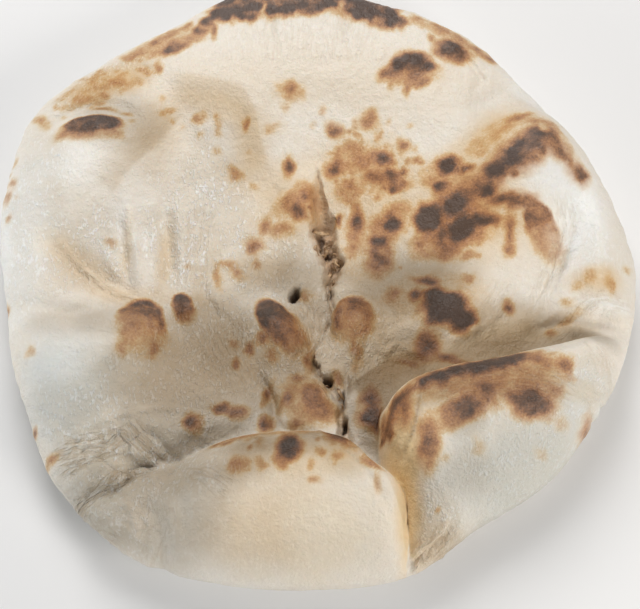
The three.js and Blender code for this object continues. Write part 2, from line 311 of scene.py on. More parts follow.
def raised_lines(x, y, lines, how_far=math.inf):
    """The height of folds or seams, each worked out only that many widths around."""
    height = np.zeros(np.shape(x))
    for through, rise, left, right in lines:
        line = smooth_line(through)
        near = near_line(x, y, line, how_far * max(left, right))
        distance, along = beside(x[near], y[near], line)
        fade = np.sin(math.pi * (LINE_FADE + (1 - 2 * LINE_FADE) * along)) ** FADE_POWER
        width = np.where(distance > 0, left, right)
        height[near] += rise * fade * np.exp(-LINE_FALL * (distance / width) ** 2)
    return height


print(len(FOLDS), "folds")

# %% [markdown]
# From the middle to the front the top skin has split. The tear is a furrow whose
# depth and width change along its length, with ragged sides and small deeper
# holes. It is shallow, so it is pressed into the one sheet. Cutting the mesh open
# would leave edges to close again.

# %% The tear and its holes
TEAR = {
    "through": [
        (1, 42), (4, 17), (8, 4), (6, -9), (7, -20), (3, -30), (0, -38), (4.5, -47),
        (10, -55), (11, -64), (13, -71),
    ],
    "depth": [1, 7, 6, 3.5, 2, 0.8, 2, 4, 3, 5, 4],
    "width": [2, 6.5, 6.5, 2.6, 2, 1.6, 2, 3, 2.2, 2.8, 3.6],
    "stain": [0.5, 1, 1, 0.35, 0.1, 0, 0.2, 0.4, 0.3, 0.5, 0.6],
}
LEFT_SHARE, RIGHT_SHARE = 0.75, 1.1
# Each hole's place, half sizes, turn and depth, and how many crumb threads grow in it.
HOLES = [
    ((-8, -10.5), (3.2, 5.0), -30, 7, 1), ((2.5, 15), (1.8, 4.6), 10, 8, 6),
    ((5, 9), (2.8, 2.8), 0, 9, 6), ((10, 3), (1.6, 3.6), -35, 7, 5),
    ((6.5, -8), (1.2, 4.5), 0, 5, 2), ((0.5, -39), (0.9, 3.2), 40, 3, 1),
    ((4.5, -47), (2.6, 2.8), 45, 7, 2), ((11, -54), (0.9, 3.6), 0, 4, 2),
    ((11.5, -65), (1.3, 4.4), -10, 7, 2),
]
tear_line = smooth_line(TEAR["through"])


def length_of(line):
    return np.hypot(*np.diff(line, axis=0).T).sum()


def tear_profile(x, y):
    """Depth of the tear, and 0 to 1 for how stained it is and for the painted shade of holes."""
    level = np.stack([x.ravel(), y.ravel(), 0 * x.ravel()], axis=1)
    ragged = (1.3 * hills(level, 5, 21) + 0.7 * hills(level, 2.2, 22)).reshape(x.shape)
    uneven = 1 + 0.35 * hills(level, 3, 23).reshape(x.shape)
    distance, along = beside(x, y, tear_line)
    distance = distance + ragged
    steps = np.diff(TEAR["through"], axis=0, prepend=TEAR["through"][:1])
    stations = np.cumsum(np.hypot(*steps.T))
    stations /= stations[-1]
    width = np.interp(along, stations, TEAR["width"])
    width *= np.where(distance > 0, LEFT_SHARE, RIGHT_SHARE)
    open_share = 1 - smoothstep(0.3, 1, np.abs(distance) / width)
    depth = np.interp(along, stations, TEAR["depth"]) * open_share * uneven
    # Each hole's share is later painted dark brown, as the shade inside the hole.
    hole_shade = np.zeros_like(depth)
    for at, size, turn, deep, _ in HOLES:
        gape = 1 - smoothstep(0.35, 1, reach(x + 0.8 * ragged, y, at, size, turn))
        depth = np.maximum(depth, deep * gape)
        hole_shade = np.maximum(hole_shade, gape)
    return depth, open_share * np.interp(along, stations, TEAR["stain"]), hole_shade


print("tear", round(length_of(tear_line)), "mm long, with", len(HOLES), "holes")

# %% [markdown]
# The two pillows in front of the tear are the highest parts. Each has an outline
# of its own, a rounded edge, and a crest that leans over the middle of the bread.
# They could be separate balloons, but one skin runs over all of it. So each pillow
# is melted into the height of the dish, and its lean is a sideways push.

# %% The two pillows
PILLOWS = {
    "front left": {
        "middle": (-14, -118),
        "outline": [
            48, 50, 53.5, 51.5, 52.5, 51.2, 50.3, 51, 52.5, 54, 57, 60,
            61, 58.7, 54, 47.6, 41, 39.6, 40, 40.9, 42, 46, 51, 50,
        ],
        "rounding": [12, 12, 15, 18, 20, 23, 28, 30, 30, 30, 26, 16],
        "height": 37, "slope": (0.14, 0), "towards": 88,
    },
    "front right": {
        "middle": (90, -95),
        "outline": [
            95, 95, 94, 80, 73, 67, 60, 58, 59.5, 66, 73, 69,
            62, 62, 62, 68, 76, 85, 93, 94, 95, 95, 95, 95,
        ],
        "rounding": [40, 36, 22, 17, 16, 18, 28, 32, 36, 40, 40, 40],
        "height": 40, "slope": (-0.05, 0.06), "towards": 112,
    },
}
PILLOW_FOOT, PILLOW_BLEND = 6, 7
LEAN, LEAN_RISE, LEAN_POWER = 7, 30, 1.3
BELOW_ALL = -50


def melt(a, b, soft):
    """The larger of two heights, with the corner between them filled in."""
    near = np.clip(soft - np.abs(a - b), 0, None) / soft
    return np.maximum(a, b) + near * near * soft / 4


def round_off(distance, radius):
    """A quarter circle's rise, from 0 at the edge to 1 a radius further in."""
    share = np.clip(distance / radius, 0, 1)
    return np.sqrt(1 - (1 - share) ** 2)


def add_pillows(x, y, height):
    """The height with the pillows on it, their crests' lean, and where they lie."""
    lean_x, lean_y = np.zeros_like(height), np.zeros_like(height)
    on_pillow = np.zeros_like(height)
    for pillow in PILLOWS.values():
        dx, dy = x - pillow["middle"][0], y - pillow["middle"][1]
        turn = np.arctan2(dy, dx)
        inside = around(pillow["outline"], turn) - np.hypot(dx, dy)
        full = pillow["height"] + pillow["slope"][0] * dx + pillow["slope"][1] * dy
        edge = round_off(inside, around(pillow["rounding"], turn))
        top = np.where(inside > 0, PILLOW_FOOT + (full - PILLOW_FOOT) * edge, BELOW_ALL)
        lean = LEAN * np.clip((top - height) / LEAN_RISE, 0, 1) ** LEAN_POWER
        lean_x += lean * math.cos(math.radians(pillow["towards"]))
        lean_y += lean * math.sin(math.radians(pillow["towards"]))
        on_pillow = np.maximum(on_pillow, smoothstep(0, 2, top - height))
        height = melt(height, top, PILLOW_BLEND)
    return height, lean_x, lean_y, on_pillow


print(len(PILLOWS), "pillows, leaning over by", LEAN, "mm")

# %% [markdown]
# Now the top can be put together: the dish with its bulges and folds, the pillows
# melted in, the tear taken out, and the edge rounded off. A place is given by its
# share of the way to the edge and its direction. So the outline is always met
# exactly, which places in a square grid wouldn't do.

# %% The whole top
def top_form(share, turn):
    """Points of the top, and 0 to 1 for on a pillow, in the tear and in a hole."""
    radius = around(OUTLINE, turn)
    x, y = share * radius * np.cos(turn), share * radius * np.sin(turn)
    dish = (around(CREST, turn) - FLOOR) * smoothstep(DIP_START, DIP_END, share)
    folds = raised_lines(x, y, FOLDS.values(), FOLD_REACH)
    skin = FLOOR + dish + bulge_height(x, y) + folds
    height, lean_x, lean_y, on_pillow = add_pillows(x, y, skin)
    depth, torn, hole_shade = tear_profile(x, y)
    edge = round_off((1 - share) * radius, around(RIM_ROUND, turn))
    z = EDGE_HEIGHT + (height - depth - EDGE_HEIGHT) * edge
    points = np.stack([x + lean_x * edge, y + lean_y * edge, z], axis=-1)
    return points, on_pillow, torn * (1 - on_pillow), hole_shade * (1 - on_pillow)


centre = np.zeros((1, 1))
print("the middle is", round(top_form(centre, centre)[0][0, 0, 2], 1), "mm high")

# %% [markdown]
# The underside lies flat in the middle, where the bread rests, and lifts a
# little towards the edge. It is hardly seen, so it has no relief.

# %% The underside's form
def under_form(share, turn):
    """Points of the underside, flat in the middle and lifting to the edge."""
    radius = around(OUTLINE, turn)
    lift = BASE_LIFT * smoothstep(BASE_FLAT, 1, share)
    edge = round_off((1 - share) * radius, BASE_ROUND)
    z = EDGE_HEIGHT + (lift - EDGE_HEIGHT) * edge
    return np.stack([share * radius * np.cos(turn), share * radius * np.sin(turn), z], -1)


print("flat base about", round(2 * BASE_FLAT * np.mean(OUTLINE)), "mm across")

# %% [markdown]
# ## The mesh
#
# A grid of spokes and rings would crowd its faces in the middle and starve the
# rim. Instead a square sheet of even faces is drawn out into a disc, ring of
# squares by ring of squares. The sheet is a little denser near the tear, which
# runs from the middle to the front, and near the edge, where the skin turns over.

# %% Lay out the sheet
CELLS = 284
EDGE_CROWDING = 0.5
TEAR_CROWDING = 0.5

even = np.linspace(-1, 1, CELLS + 1)
column, row = np.meshgrid(even - TEAR_CROWDING * np.sin(math.pi * even) / math.pi, even)
wide = np.abs(column) > np.abs(row)
square = np.where(wide, column, row)
safe = np.where(square == 0, 1, square)
slant = np.where(wide, row, column) / safe
turn = np.where(wide, slant * math.pi / 4, math.pi / 2 - slant * math.pi / 4)
turn = np.where(square < 0, turn + math.pi, turn)
ring_share = np.abs(square)
share = (1 - EDGE_CROWDING) * ring_share + EDGE_CROWDING * np.sin(ring_share * math.pi / 2)

points, on_pillow, torn, hole_shade = top_form(share, turn)
print("top:", turn.size, "points,", round(points[..., 2].max(), 1), "mm high")

# %% [markdown]
# A sheet alone would have an open edge. So its border is stepped inwards under
# the bread, row by row, until the last row closes on one point.

# %% Close the sheet with an underside
UNDER_ROWS = 7
UNDER_SPAN, UNDER_CROWDING = 0.8, 1.8


def border(values):
    """A sheet's outermost values, once round, counter-clockwise."""
    sides = values[0, :-1], values[:-1, -1], values[-1, :0:-1], values[:0:-1, 0]
    return np.concatenate(sides)


numbers = np.arange(turn.size).reshape(turn.shape)
rings = [border(numbers)]
under_points = []
count = numbers.size
for step in range(1, UNDER_ROWS + 1):
    inwards = 1 - UNDER_SPAN * (step / UNDER_ROWS) ** UNDER_CROWDING
    under_points.append(under_form(np.full(len(rings[0]), inwards), border(turn)))
    rings.append(np.arange(len(rings[0])) + count)
    count += len(rings[0])

corners = numbers[:-1, :-1], numbers[:-1, 1:], numbers[1:, 1:], numbers[1:, :-1]
quads = [np.stack(corners, -1).reshape(-1, 4)]
for outer, inner in zip(rings, rings[1:]):
    quads.append(np.stack([np.roll(outer, -1), outer, inner, np.roll(inner, -1)], -1))
fan = [(int(b), int(a), count) for a, b in zip(rings[-1], np.roll(rings[-1], -1))]
print("faces:", sum(len(q) for q in quads) + len(fan))

# %% [markdown]
# ## The skin's own relief
#
# Over the large form lies a skin of small lumps and blisters. The points are moved
# along the surface's own normals, so lumps stand straight out on steep sides too.
# Bump in the material would be cheaper, but it leaves the outline smooth, so only
# the finest grain is left to it.

# %% Blisters and lumps
across = np.gradient(points, axis=1)
up = np.gradient(points, axis=0)
normals = np.cross(across, up).reshape(-1, 3)
normals /= np.linalg.norm(normals, axis=1)[:, None] + 1e-12
flat = points.reshape(-1, 3)
flat_x, flat_y = flat[:, 0], flat[:, 1]
pillow = on_pillow.ravel()

# Where each blister stands, its half length and half width, turn and rise.
BLISTERS = [
    (-49, -18, 5.5, 6.5, 0, 2.2), (-13, -25, 15, 8, -52, 2.6), (15, -21, 10, 11, 0, 2.4),
    (50, -20, 12, 10, -10, 2.6), (-6, 26, 7, 6, 20, 1.6), (88, 14, 8, 8, 0, 1.2),
    (56, 90, 8, 5.5, -22, 1.8), (-87, 53, 10, 4, 0, 1.0), (-1, -56, 9, 8, 0, 2.2),
    (22, -62, 6, 7, 0, 1.4), (56, 20, 9, 9, 0, 1.2), (25, 42, 9, 8, 0, 1.2),
    (38, 84, 8, 4, -10, 1.2), (-26, 18, 6, 5, 0, 0.8),
]
relief = np.zeros(len(flat))
for x, y, long, short, blister_turn, rise in BLISTERS:
    out = np.clip(reach(flat_x, flat_y, (x, y), (long, short), blister_turn), 0, 1)
    relief += rise * (1 - out**2) ** 1.5

# The pillows were blown tight, so they are calmer than the rest.
calm = 1 - 0.65 * pillow
swells = 1.1 * hills(flat, 30, 1)
lumps = 0.55 * hills(flat, 11, 2)
pimples = 0.35 * np.abs(hills(flat, 5, 3))
fine_lumps = 0.18 * hills(flat, 2.6, 4)
relief += (swells + lumps + pimples) * calm + fine_lumps * (0.4 + 0.6 * calm)
print("lumps and blisters from", round(relief.min(), 1), "to", round(relief.max(), 1), "mm")

# %% [markdown]
# Where the dough sank back after it had puffed, its skin is crinkled like paper.
# A cloth simulation would crinkle it too, but not where it is wanted. So ovals
# say where and how strongly, and three noises make thin raised lines there. The
# same ovals later tell the material where the skin is dull, where it gets short
# raised strokes, and where painted glints lie on those strokes.

# %% Crinkled skin
# Where the skin is crinkled: middle, half length and half width, turn and strength.
CRINKLED = [
    ((-42, 14), (30, 44), 0, 1.0), ((-36, -34), (34, 26), 0, 0.9), ((-66, -62), (46, 28), 0, 0.8),
    ((-64, -84), (30, 16), 0, 1.0), ((-108, 12), (16, 44), 0, 0.7), ((4, -30), (34, 30), 0, 0.8),
    ((-86, 76), (30, 11), 25, 0.7), ((-88, 2), (26, 20), 0, 0.9), ((108, -8), (12, 22), 0, 0.3),
    ((-72, -102), (24, 16), 0, 0.7), ((44, -106), (12, 16), 0, 0.7), ((14, 6), (26, 34), 0, 0.5),
    ((104, -52), (14, 10), -20, 0.6), ((-38, -86), (18, 12), 0, 0.6),
    ((-20, -104), (40, 24), 0, 0.3), ((82, -78), (44, 30), 20, 0.5), ((-14, 0), (20, 22), 0, 0.8),
    ((46, 4), (26, 26), 0, 0.35),
]
CRINKLED_LEAST = 0.15
crinkled = np.full(len(flat), CRINKLED_LEAST)
ragged_edge = 0.25 * hills(flat, 12, 15)
for at, size, area_turn, strength in CRINKLED:
    out = reach(flat_x, flat_y, at, size, area_turn) + ragged_edge
    crinkled = np.maximum(crinkled, strength * (1 - smoothstep(0.5, 1.1, out)))

standing = flat * (1, 0.5, 1)
crinkles = 0.3 * wrinkles(flat + hills(flat, 4, 16)[:, None], 8, 17)
crinkles += 0.25 * wrinkles(standing, 3.6, 18, 2.0)
crinkles += 0.5 * np.clip(hills(standing, 2.4, 19), 0, 1)
patches = np.clip(0.55 + 0.9 * hills(flat, 9, 20), 0.1, 1)
relief += 0.6 * crinkled * crinkles * patches
print("crinkled share of the top:", round((crinkled > 0.5).mean(), 2))

# %% [markdown]
# Next to a pinch the skin is gathered in fine pleats that all run the same way.
# Noise alone has no direction. So each set has a guide line, and the noise is
# measured across that line and, more slowly, along it, which draws its hills out
# into pleats that bend with the line. The material uses both measures again.

# %% Pleats
# The line that each set of pleats runs beside, how far it reaches, and its strength.
PLEATS = {
    "fan's left pleats": ([(-96, -82), (-84, -78), (-75, -76), (-68, -70)], 8, 1.0),
    "fan's right pleats": ([(-71, -67), (-63, -75), (-56, -81)], 7, 0.9),
    "pinch's pleats": ([(-92, -103), (-80, -94), (-70, -87), (-58, -83)], 5, 1.0),
    "heel's pleats": ([(-56, -96), (-55, -107), (-59, -120)], 9, 0.4),
    "heel's outer pleats": ([(-88, -110), (-78, -106), (-70, -110)], 5, 0.6),
    "lip's own pleats": ([(-50, -87), (-40, -88), (-28, -95)], 6, 0.55),
    "right crest's pleats": ([(36, -64), (50, -59), (66, -56), (84, -57), (98, -61)], 9, 0.5),
    "hollow's pleats": ([(-38, -22), (-34, -36), (-26, -48)], 14, 0.4),
    "brow's pleats": ([(-8, -6), (-2, -18), (1, -30)], 4, 0.6),
    "middle's pleats": ([(74, -8), (66, -22), (56, -34)], 8, 0.3),
    "right flow": ([(96, 28), (98, 12), (92, -3), (87, -13), (83, -23)], 7, 0.4),
    "right fold's pleats": ([(124, -20), (110, -20), (101, -23), (94, -30), (84, -36)], 5, 0.5),
    "right end's pleats": ([(98, -38), (107, -46), (113, -56)], 6, 0.35),
    "furrow's pleats": ([(-44, 28), (-46, 12), (-47, 0), (-49, -12)], 8, 0.45),
    "left pleats": ([(-100, 4), (-90, -5), (-80, -13), (-66, -18)], 7, 0.35),
    "rim's pleats": ([(-4, 116), (-4, 98), (-4, 82)], 40, 0.25),
    "low flap's pleats": ([(-10, -32), (-2, -46), (5, -58)], 7, 0.5),
    "strip's pleats": ([(30, -62), (32, -78), (34, -94), (34, -110)], 5, 0.35),
    "low wrinkle's pleats": ([(35, -122), (42, -114), (51, -107)], 8, 0.65),
    "crest's pleats": ([(-38, -77), (-22, -73), (-4, -72), (10, -75), (22, -86)], 4, 0.6),
    "curl's pleats": ([(22, -34), (31, -35), (42, -38)], 5, 0.4),
}
PLEAT_REACH = 1.7
SET_APART = 60
pleated, pleat_across, pleat_along = np.zeros((3, len(flat)))
wavering = 0.3 * hills(flat, 9, 25)
for number, (through, width, strength) in enumerate(PLEATS.values()):
    line = smooth_line(through)
    near = np.flatnonzero(near_line(flat_x, flat_y, line, PLEAT_REACH * width))
    distance, along = beside(flat_x[near], flat_y[near], line)
    out = np.abs(distance) / width + wavering[near]
    ends = smoothstep(0, 0.15, along) * smoothstep(0, 0.15, 1 - along)
    amount = strength * ends * (1 - smoothstep(0.4, 1, out))
    stronger = amount > pleated[near]
    here = near[stronger]
    pleat_across[here] = distance[stronger]
    pleat_along[here] = along[stronger] * length_of(line) + SET_APART * number
    pleated[here] = amount[stronger]
lengthwise = np.stack([pleat_across, pleat_along / 4, pleat_along / SET_APART], axis=1)
relief += 0.7 * pleated * wrinkles(lengthwise, 3.2, 27, 2.2)
print(len(PLEATS), "sets of pleats")

# %% [markdown]
# The pillows have a few small seams of their own, such as the rolled lip beside
# the crease between them. They are made as the folds are, but pushed out along
# the normals, because a rise straight up would be lost on a steep side.

# %% Seams on the pillows
# The points that each seam passes through, its rise, and its left and right width.
SEAMS = {
    "ear's crease": ([(38, -58), (36.5, -66), (35, -74), (31, -82)], -1.8, 2.2, 2.2),
    "ear's rim": ([(30, -62), (28.5, -69), (28, -77)], 1.2, 1.6, 1.6),
    "rolled lip": (
        [(2, -73), (11, -77), (19, -85), (25, -93), (29, -103), (31, -113)], 1.1, 1.4, 1.2),
    "lip's groove": ([(4, -77), (10, -80), (17, -87), (22, -95), (26, -104)], -0.9, 1.5, 1.5),
    "crest's streak": ([(44, -60), (56, -57), (70, -55), (84, -57)], -0.6, 1.4, 1.4),
    "second streak": ([(50, -64), (64, -61), (80, -60), (92, -62)], -0.5, 1.4, 1.4),
    "low wrinkle": ([(35, -117), (42, -112), (50, -105)], -1.8, 1.6, 1.6),
    "low rib": ([(36, -112), (42, -109), (47, -103)], 1.6, 1.5, 1.5),
    "lower wrinkle": ([(38, -123), (46, -120), (55, -112)], -1.4, 1.6, 1.6),
    "right end's wrinkle": ([(96, -58), (103, -62), (108, -69)], -1.0, 1.5, 1.5),
    "right end's second": ([(100, -54), (108, -58), (113, -65)], -1.0, 1.5, 1.5),
    "heel's soft fold": ([(-62, -94), (-56, -104), (-54, -116), (-58, -126)], -1.6, 5, 5),
    "heel's inner fold": ([(-50, -92), (-46, -100), (-46, -110)], -0.8, 3, 3),
    "knob's wrinkle": ([(-70, -94), (-64, -102), (-62, -112)], 1.0, 1.6, 1.6),
}
relief += raised_lines(flat_x, flat_y, SEAMS.values())
shaped = flat + normals * relief[:, None]
shaped_x, shaped_y = shaped[:, 0], shaped[:, 1]
print("relief from", round(relief.min(), 1), "to", round(relief.max(), 1), "mm")

# %% [markdown]
# ## The marks of the fire
#
# Heat colours dough in steps: straw, gold, brown, then a violet black. An image
# texture would smear on the steep sides. Here each mark has a place, a half
# length and half width, a turn and a heat from 0 to 1, and the heat is kept at
# the mesh's points. The places are pushed about by small hills first, which
# breaks up every oval edge. Round each mark lies a halo of paler brown, narrower
# round a small spot, and the halos of neighbours run together.

# %% How spots and scorched lines are laid
HALO = 3.0
SMALL_HALO, HALO_GROWTH = 0.7, 0.7
SOFT_MOST = 3.5
SPOT_HEAT = 1.15
JOIN = 2.5
warp_x = shaped_x + 1.3 * hills(shaped, 5.5, 5) + 0.3 * hills(shaped, 2.2, 6)
warp_y = shaped_y + 1.3 * hills(shaped, 5.5, 7) + 0.3 * hills(shaped, 2.2, 8)
patchy = 1 + 0.14 * hills(shaped, 3.5, 9) + 0.1 * hills(shaped, 1.6, 10)
patchy_line = 0.85 + 0.35 * hills(shaped, 6, 11)
heat = np.zeros(len(shaped))


def lay(new):
    """Joins a mark to those already there, so that their halos run together."""
    heat[:] = (heat**JOIN + np.clip(new * patchy, 0, None) ** JOIN) ** (1 / JOIN)


def toast(marks, where):
    """Lays spots on the skin, where `where` is 1."""
    for x, y, long, short, mark_turn, strength in marks:
        radius = min(long, short)
        past = (reach(warp_x, warp_y, (x, y), (long, short), mark_turn) - 1) * radius
        halo = min(HALO, SMALL_HALO + HALO_GROWTH * radius)
        spot = 1 - smoothstep(-min(radius, SOFT_MOST), halo, past)
        lay(where * (SPOT_HEAT * strength) * spot)


def toast_along(through, half_width, strength, where):
    """Lays a scorched line whose strength comes and goes."""
    distance, along = beside(warp_x, warp_y, smooth_line(through))
    ends = smoothstep(0, 0.08, along) * smoothstep(0, 0.08, 1 - along)
    past = np.abs(distance) - half_width
    band = 1 - smoothstep(-half_width, HALO, past)
    lay(where * strength * ends * patchy_line * band)


print("ready to lay marks on", len(shaped), "points")

# %% [markdown]
# The top of a blister is scorched as one smooth patch with a crisp edge, darkest
# on the side that faced the fire. Freckles are far too many to place by hand, so
# they are drawn at random over an oval.

# %% How blister marks and freckles are laid
uneven_patch = 1 + 0.28 * hills(shaped, 9, 24) + 0.16 * hills(shaped, 3.5, 28)
MARK_SQUARENESS = 2.3
FRECKLE_RADII = 0.5, 1.6


def toast_blister(at, size, mark_turn, strong, weak, towards, where):
    """Lays one smooth mark with a crisp edge, strongest on the side it faces."""
    x, y = 0.5 * (warp_x + shaped_x), 0.5 * (warp_y + shaped_y)
    out = reach(x, y, at, size, mark_turn, MARK_SQUARENESS)
    facing = math.radians(towards)
    across = ((x - at[0]) * math.cos(facing) + (y - at[1]) * math.sin(facing)) / max(size)
    strength = weak + (strong - weak) * smoothstep(-0.8, 0.8, across)
    softness = 0.12 + 0.3 * (1 - smoothstep(-0.6, 0.4, across))
    edge = 1 - smoothstep(1 - softness, 1 + softness, out)
    lay(where * strength * edge * uneven_patch)


def freckle(at, size, area_turn, count, strength, where):
    """Sprinkles small round scorches over a turned oval."""
    bearing, away = rng.uniform(0, math.tau, count), np.sqrt(rng.uniform(0, 1, count))
    u, v = size[0] * away * np.cos(bearing), size[1] * away * np.sin(bearing)
    cos, sin = math.cos(math.radians(area_turn)), math.sin(math.radians(area_turn))
    radii = rng.uniform(*FRECKLE_RADII, count)
    heats = strength * rng.uniform(0.6, 1.2, count)
    rows = zip(at[0] + u * cos - v * sin, at[1] + u * sin + v * cos, radii, heats)
    toast([(x, y, radius, radius, 0, hot) for x, y, radius, hot in rows], where)


# The fire stood above and a little in front, so skin that turns away from it stays pale.
TOWARDS_FIRE = 0, -0.37, 0.93
facing_fire = normals @ np.array(TOWARDS_FIRE) + 0.1 * hills(flat, 6, 26)
fired = smoothstep(-0.2, 0.1, facing_fire)
skin = (1 - pillow) * fired
top = pillow * fired
print("share of the points that faced the fire:", round((fired > 0.5).mean(), 2))

# %% [markdown]
# The back of the rim stood nearest to the fire. It is charred along its top in
# spots that run together, and char drips down its inside in short runs. Two
# pinches in the rim were shut while it baked, so the char is taken off them again.

# %% The charred rim at the back
toast([
    (-43, 110, 2.3, 2.5, 30, 1), (-39, 109, 3.9, 3.3, 0, 1.05), (-33, 111, 4.3, 3.3, 5, 1.05),
    (-27, 112, 3.9, 2.9, 5, 1), (-22, 112, 3.5, 2.9, 0, 0.85), (-17, 111, 3.9, 3.7, 0, 1),
    (-11, 112, 4.3, 3.3, 5, 1), (-5, 113, 3.9, 3.2, 0, 0.95), (-3, 110, 5, 2.4, 0, 0.62),
    (4, 112, 4.7, 2.6, -5, 0.9), (8, 112, 3.1, 1.6, -10, 0.85), (18, 108, 3.1, 4.1, -15, 1.05),
    (24, 108, 3.9, 3.3, -15, 1.05), (31, 106, 3.9, 4.1, -20, 1.05), (36, 104, 2.7, 2.4, -25, 0.7),
    (-59, 92, 4.3, 2.5, 25, 0.8), (-46, 105, 2, 1.6, 20, 0.7), (-49, 101, 2, 1.4, 20, 0.6),
    (-54, 94, 2.4, 1.6, 25, 0.55), (-42, 101, 1.3, 3.2, 10, 0.6),
], skin)
toast_along([(-46, 114), (-33, 118), (-15, 119), (5, 118), (22, 114), (38, 108)], 7.5, 1.2, skin)
toast_along([(-80, 86), (-72, 92), (-64, 98), (-50, 106)], 2.6, 0.6, skin)
toast_along([(-69, 89), (-58, 94), (-49, 99), (-41, 106)], 2.6, 0.6, skin)
freckle((-84, 76), (24, 9), 25, 60, 0.3, skin)

char_edge = smooth_line([
    (-46, 107), (-38, 109), (-27, 108), (-20, 110), (-4, 112), (10, 113), (16, 110),
    (22, 106.5), (35, 104),
])
for x, y in char_edge:
    long = rng.uniform(1.2, 3.2)
    x, wide = x + rng.uniform(-0.6, 0.6), rng.uniform(1.1, 1.8)
    toast([(x, y - 0.5 * long, wide, long, 0, rng.uniform(0.3, 0.75))], skin)

# Where each pinch is from left to right, and how wide.
PINCHES = [(-21, 1.3), (11, 2.0)]
in_the_rim = smoothstep(99, 103, shaped_y) * (1 - smoothstep(112, 117, shaped_y))
for x, width in PINCHES:
    heat *= 1 - 0.7 * in_the_rim * np.exp(-(((warp_x - x) / width) ** 2))
freckle((-121, 38), (2, 18), 14, 9, 0.24, skin)
toast_along([(38, 108), (50, 102), (63, 95), (76, 86)], 2.6, 0.6, skin)
toast_along([(-45, 107), (-30, 108), (-12, 109), (6, 110), (22, 104), (36, 101)], 1.6, 0.4, skin)
print("hottest so far", round(heat.max(), 2))

# %% [markdown]
# On the back dome lie two large spots with smaller ones round them. In front of
# the dome the skin is mottled: many pale brown spots touch each other. Two broad,
# weak ovals give them a straw ground, and freckles fill the gaps.

# %% The back dome and the mottled field in front of it
toast([
    (-64, 83, 1.4, 1.2, 80, 0.5), (56.5, 90, 7.6, 4.9, -22, 0.86), (48, 96, 1.6, 1.6, 0, 0.5),
    (41, 85, 6, 3.8, -5, 1.02), (34.5, 83.5, 3.8, 2.8, 20, 0.85), (46.5, 82, 2.6, 2.6, 0, 0.8),
    (39, 80, 10.5, 5.5, 0, 0.56), (29, 80, 3.6, 2.8, 20, 0.6), (37, 73, 1.6, 2.8, 0, 0.56),
    (43, 75.5, 3.2, 2, 0, 0.6), (31, 74.5, 1.2, 1.4, 0, 0.4), (-10, 73, 3.1, 4.6, 80, 0.38),
    (-10, 75, 2, 2, 0, 0.5), (-12, 67, 2, 2, 0, 0.33), (-28, 60, 1.6, 2, 0, 0.56),
    (-40, 63, 1, 1, 0, 0.35), (-40, 59, 1, 2, 0, 0.3), (-47, 62, 2, 1.6, 0, 0.52),
    (-32, 40, 2, 2.5, 60, 0.47), (-25, 36, 1.2, 1.2, 0, 0.3), (-17, 58, 1.6, 3, -60, 0.28),
    (3, 66, 1.6, 1.6, 0, 0.3), (8, 58, 3.5, 2.7, -30, 0.58), (22, 62, 3.1, 3.3, 0, 0.58),
    (25, 55, 1.6, 1.6, 0, 0.42), (36, 51, 2.1, 2.5, 0, 0.55),
], skin)
toast([
    (-11, 43, 2.1, 3.7, 0, 0.68), (8, 43, 3.1, 4.5, -50, 0.78), (14, 51, 6.2, 2.5, 10, 0.42),
    (19, 45, 5.9, 3.7, 0, 0.43), (27, 46, 3.9, 3.3, 0, 0.76), (23, 39, 3.9, 3.3, 0, 0.55),
    (29, 38, 4.7, 3.7, 0, 0.48), (31, 33, 2, 2, 0, 0.76), (31, 39, 2.3, 2.9, 0, 0.66),
    (35, 40, 2.3, 2, 0, 0.62), (14, 34, 5.5, 4.9, 0, 0.42), (34, 35, 4.7, 3.7, 0, 0.46),
    (20, 48, 11, 4, 0, 0.3), (28, 38, 9, 5, -10, 0.28), (22, 42, 20, 14, -10, 0.08),
    (20, 10, 14, 16, 0, 0.1),
], skin)
freckle((24, 44), (20, 14), -10, 70, 0.36, skin)
freckle((20, 58), (22, 7), 0, 14, 0.26, skin)
freckle((24, 16), (14, 22), 0, 24, 0.3, skin)
print("hottest so far", round(heat.max(), 2))

# %% [markdown]
# On the right stands a cluster of dark spots on brown ones, and a dark arch runs
# over the bubble. As a row of ovals the arch would look like beads, so it is made
# of scorched lines of several widths.

# %% The cluster and the arch on the right
toast([
    (53, 40, 5.1, 3.5, -15, 1.02), (60, 37, 3.1, 2, 0, 0.7), (50, 32, 2.7, 2.5, 0, 0.86),
    (45, 20, 5.5, 6, 0, 1.08), (55, 23, 4.2, 5, 0, 1.05), (58, 14, 4.4, 5.4, -20, 1.08),
    (64, 17, 2.7, 2, 0, 0.85), (68, 16, 4.3, 1.8, -8, 0.92), (56, 26, 8.6, 5.7, 0, 0.55),
    (53, 10, 6.2, 8.2, 0, 0.52), (50, 5, 3.5, 3.7, 0, 0.5), (60, 3, 1.8, 1.8, 0, 0.42),
    (75, 22, 7, 2.5, -12, 0.76), (68, 27, 3.5, 2.5, 0, 0.62), (60, 30, 9, 5, -20, 0.42),
    (56, 17, 14, 12, 0, 0.44), (48, 35, 6, 4, -20, 0.42), (66, 20, 26, 12, -8, 0.1),
    (44, -14, 20, 12, 0, 0.1), (76, 11, 2.1, 6.6, 0, 0.62), (75, 3, 2, 2.5, 0, 0.5),
    (82, 22, 5, 2.6, -25, 0.5),
], skin)
toast_blister((89, 9.5), (12.5, 6.2), -66, 0.62, 0.46, 100, skin)
toast_along([(66, 24), (69, 32), (76, 39), (84, 44), (90, 47)], 6, 1.08, skin)
toast_along([(86, 47), (93, 45), (98, 37), (105, 29)], 3.8, 0.74, skin)
toast_along([(72, 31), (79, 36), (86, 41), (93, 42)], 4.4, 0.62, skin)
toast_along([(62, 40), (68, 48), (77, 53), (88, 54), (96, 48)], 4.6, 0.32, skin)
freckle((82, 38), (12, 6), 35, 26, 0.5, skin)
freckle((54, 12), (14, 12), 0, 30, 0.38, skin)
